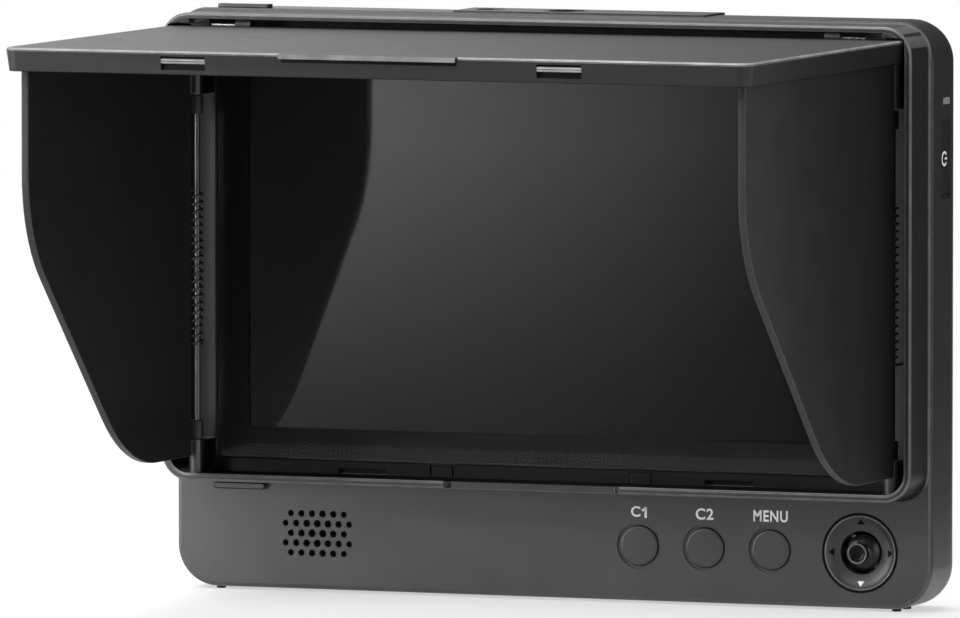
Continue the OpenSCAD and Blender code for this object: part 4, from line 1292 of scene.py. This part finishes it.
@dataclass
class Studio:
    """The floor, the lamps, the surroundings and the camera."""

    azimuth: float = math.radians(21.03)
    elevation: float = math.radians(4.12)
    distance: float = 2.682
    pixels_per_metre: float = 5828.0
    aim: tuple[float, float, float] = (0.0, -0.0075, 0.05)
    aim_pixel: tuple[float, float] = (550.9, 307.4)
    image: tuple[int, int] = (960, 618)
    floor_z: float = -0.0005
    fill: float = 0.42
    lamps_aim: tuple[float, float, float] = (0.0, 0.0, 0.05)
    card_fade: tuple[float, float] = (-0.2, -0.055)
    card_levels: tuple[float, float] = (1.2, 0.06)
    card_rise: float = 0.06
    beyond_fade: tuple[float, float] = (-0.25, -0.2)
    beyond_level: float = 11.5
    flag_fade: tuple[float, float] = (-0.5, -0.28)

    def build(self) -> None:
        """Builds the whole studio."""
        self.camera()
        self.world()
        self.floor()
        self.lamp("key_lamp", (-0.7, -1.9, 1.9), 1.3, 72.0)
        self.lamp("top_lamp", (-0.3, 0.5, 2.2), 1.6, 50.0)
        self.lamp("right_lamp", (1.3, -1.3, 0.4), 0.8, 5.0)
        self.card("front_card", Vector((-0.15, -0.3, 0.25)), (0.8, 0.5))
        self.flag("side_flag", Vector((0.1, 0.72, 0.3)), (1.5, 0.62), 0.0, (0.05, 0.05))
        self.flag("back_flag", Vector((-0.4, 0.9, 0.35)), (2.4, 0.75), math.pi / 2, (1.6, 0.02))

    def camera(self) -> None:
        """Places the camera at the photograph's angle and framing."""
        forward = Vector((-math.sin(self.azimuth) * math.cos(self.elevation),
                          math.cos(self.azimuth) * math.cos(self.elevation), -math.sin(self.elevation)))
        right = Vector((math.cos(self.azimuth), math.sin(self.azimuth), 0))
        up = right.cross(forward)
        place = Vector(self.aim) - forward * self.distance
        across = (self.image[0] / 2 - self.aim_pixel[0]) / self.pixels_per_metre
        down = (self.image[1] / 2 - self.aim_pixel[1]) / self.pixels_per_metre
        target = Vector(self.aim) + right * across - up * down
        data = bpy.data.cameras.new("view_camera")
        data.sensor_width = 36.0
        data.lens = data.sensor_width * self.pixels_per_metre * self.distance / self.image[0]
        data.clip_start, data.clip_end = 0.1, 50.0
        holder = bpy.data.objects.new("view_camera", data)
        holder.location = place
        holder.rotation_euler = (target - place).to_track_quat("-Z", "Y").to_euler()
        bpy.context.scene.collection.objects.link(holder)
        bpy.context.scene.camera = holder

    @staticmethod
    def seen(graph: Graph) -> bpy.types.NodeSocket:
        """Returns 1 for camera, glossy and transmission rays and 0 for others.

        Args:
            graph: the material's graph.

        Returns:
            The socket with the value.
        """
        path = graph.put("ShaderNodeLightPath").outputs
        both = graph.math("MAXIMUM", path["Is Camera Ray"], path["Is Glossy Ray"])
        return graph.math("MAXIMUM", both, path["Is Transmission Ray"])

    def world(self) -> None:
        """Makes the surroundings: white where they are seen, a soft grey fill elsewhere."""
        world = bpy.data.worlds.new("studio_world")
        world.use_nodes = True
        bpy.context.scene.world = world
        graph = Graph(world.node_tree)
        back = world.node_tree.nodes["Background"]
        level = graph.spread(self.seen(graph), 0.0, 1.0, self.fill, 1.0)
        graph.link(level, back.inputs["Strength"])
        back.inputs["Color"].default_value = (1.0, 1.0, 1.0, 1.0)

    def floor(self) -> None:
        """Lays the pale floor, which keeps the object's shadow and fades to white far off."""
        work = bmesh.new()
        bmesh.ops.create_circle(work, cap_ends=True, segments=96, radius=12.0,
                                matrix=Matrix.Translation((0, 0, self.floor_z)))
        piece = self.stage_piece(work, "studio_floor")
        made = bpy.data.materials.new("pale_floor")
        made.use_nodes = True
        graph = Graph(made.node_tree)
        shader = made.node_tree.nodes["Principled BSDF"]
        grain = graph.spread(graph.noise(40.0, 3.0), 0.3, 0.7, 0.84, 0.87)
        tone = graph.put("ShaderNodeCombineColor", {0: grain, 1: grain, 2: grain})
        graph.link(tone.outputs[0], shader.inputs["Base Color"])
        shader.inputs["Roughness"].default_value = 0.9
        shader.inputs["Specular IOR Level"].default_value = 0.1
        light = graph.put("ShaderNodeEmission", {"Color": (1.0, 1.0, 1.0, 1.0), "Strength": 1.0})
        share = graph.spread(graph.length(graph.place()), 0.1, 0.5, 0.55, 1.0)
        mask = graph.math("MULTIPLY", share, self.seen(graph))
        mix = graph.put("ShaderNodeMixShader", {0: mask, 1: shader.outputs[0], 2: light.outputs[0]})
        graph.link(mix.outputs[0], graph.tree.nodes["Material Output"].inputs["Surface"])
        piece.data.materials.append(made)

    @staticmethod
    def stage_piece(work: bmesh.types.BMesh, name: str) -> bpy.types.Object:
        """Makes an object of the studio from a bmesh.

        Args:
            work: the mesh, which is freed.
            name: the object's name.

        Returns:
            The piece's object.
        """
        mesh = bpy.data.meshes.new(name)
        work.to_mesh(mesh)
        work.free()
        piece = bpy.data.objects.new(name, mesh)
        bpy.context.scene.collection.objects.link(piece)
        return piece

    def lamp(self, name: str, place: tuple[float, float, float], size: float, power: float) -> None:
        """Hangs a soft square lamp that faces the object.

        Args:
            name: the lamp's name.
            place: where it hangs, in metres.
            size: its side in metres.
            power: its power in watts.
        """
        data = bpy.data.lights.new(name, "AREA")
        data.shape = "SQUARE"
        data.size = size
        data.energy = power
        holder = bpy.data.objects.new(name, data)
        holder.location = place
        holder.rotation_euler = (Vector(self.lamps_aim) - Vector(place)).to_track_quat("-Z", "Y").to_euler()
        holder.visible_camera = False
        bpy.context.scene.collection.objects.link(holder)

    def stand(self, name: str, cloth: str, place: Matrix, size: tuple[float, float]) -> tuple[Graph, Any]:
        """Stands a card where only reflections show it, also those seen through the cover glass.

        Args:
            name: the card's name.
            cloth: its material's name.
            place: its middle and turn.
            size: its two sides.

        Returns:
            The graph of its material and the axes of its own coordinates.
        """
        work = bmesh.new()
        bmesh.ops.create_grid(work, x_segments=1, y_segments=1, size=0.5,
                              matrix=place @ Matrix.Diagonal((*size, 1, 1)))
        piece = self.stage_piece(work, name)
        piece.visible_camera = piece.visible_diffuse = piece.visible_shadow = False
        piece.visible_volume_scatter = False
        made, graph, _ = new_material(cloth)
        piece.data.materials.append(made)
        return graph, graph.put("ShaderNodeSeparateXYZ", {0: graph.place()}).outputs

    @staticmethod
    def shine(graph: Graph, level: Any, colour: Colour = (1.0, 1.0, 1.0)) -> None:
        """Gives a card's material a light of this level and colour."""
        light = graph.put("ShaderNodeEmission", {"Color": (*colour, 1.0), "Strength": level})
        graph.link(light.outputs[0], graph.tree.nodes["Material Output"].inputs["Surface"])

    def card(self, name: str, middle: Vector, size: tuple[float, float]) -> None:
        """Stands the soft front card, bright to the upper left and brighter still beyond.

        Args:
            name: the card's name.
            middle: its middle.
            size: its width and height.
        """
        graph, axes = self.stand(name, f"{name}_light", Matrix.Translation(middle) @ UPRIGHT, size)
        across = graph.spread(axes["X"], *self.card_fade, *self.card_levels)
        rise = graph.math("POWER", graph.spread(axes["Z"], 0.0, self.card_rise, 0.0, 1.0), 1.3)
        share = graph.math("ADD", 0.2, graph.math("MULTIPLY", rise, 0.8))
        beyond = graph.spread(axes["X"], *self.beyond_fade, self.beyond_level, 0.0)
        level = graph.math("ADD", graph.math("MULTIPLY", across, share), beyond)
        self.shine(graph, level, (1.0, 1.0, 1.02))

    def flag(self, name: str, middle: Vector, size: tuple[float, float], turn: float,
             levels: tuple[float, float]) -> None:
        """Stands a grey card beside or behind the object.

        Args:
            name: the card's name.
            middle: its middle.
            size: its width and height.
            turn: its turn about the upright from facing along X, in radians.
            levels: how light it is at the left and the right, seen from the front.
        """
        turned = Matrix.Rotation(turn, 4, "Z") @ Matrix.Rotation(math.pi / 2, 4, "Y")
        place = Matrix.Translation(middle) @ turned
        graph, axes = self.stand(name, f"{name}_cloth", place, size[::-1])
        self.shine(graph, graph.spread(axes["X"], *self.flag_fade, *levels))


def main() -> None:
    """Builds the studio and every sub-assembly in order and reports each piece."""
    logging.basicConfig(level=logging.INFO, format="%(name)s: %(message)s")
    bpy.context.scene.view_settings.view_transform = "Standard"
    Studio().build()
    parts = (BodyShells(), SunHood(), Screen(), Controls(), SideFittings(), Internals(), BatteryMount())
    for assembly in parts:
        for piece in assembly.build():
            LOG.info("%s: %s", type(assembly).__name__, piece.name)


if __name__ == "__main__":
    main()
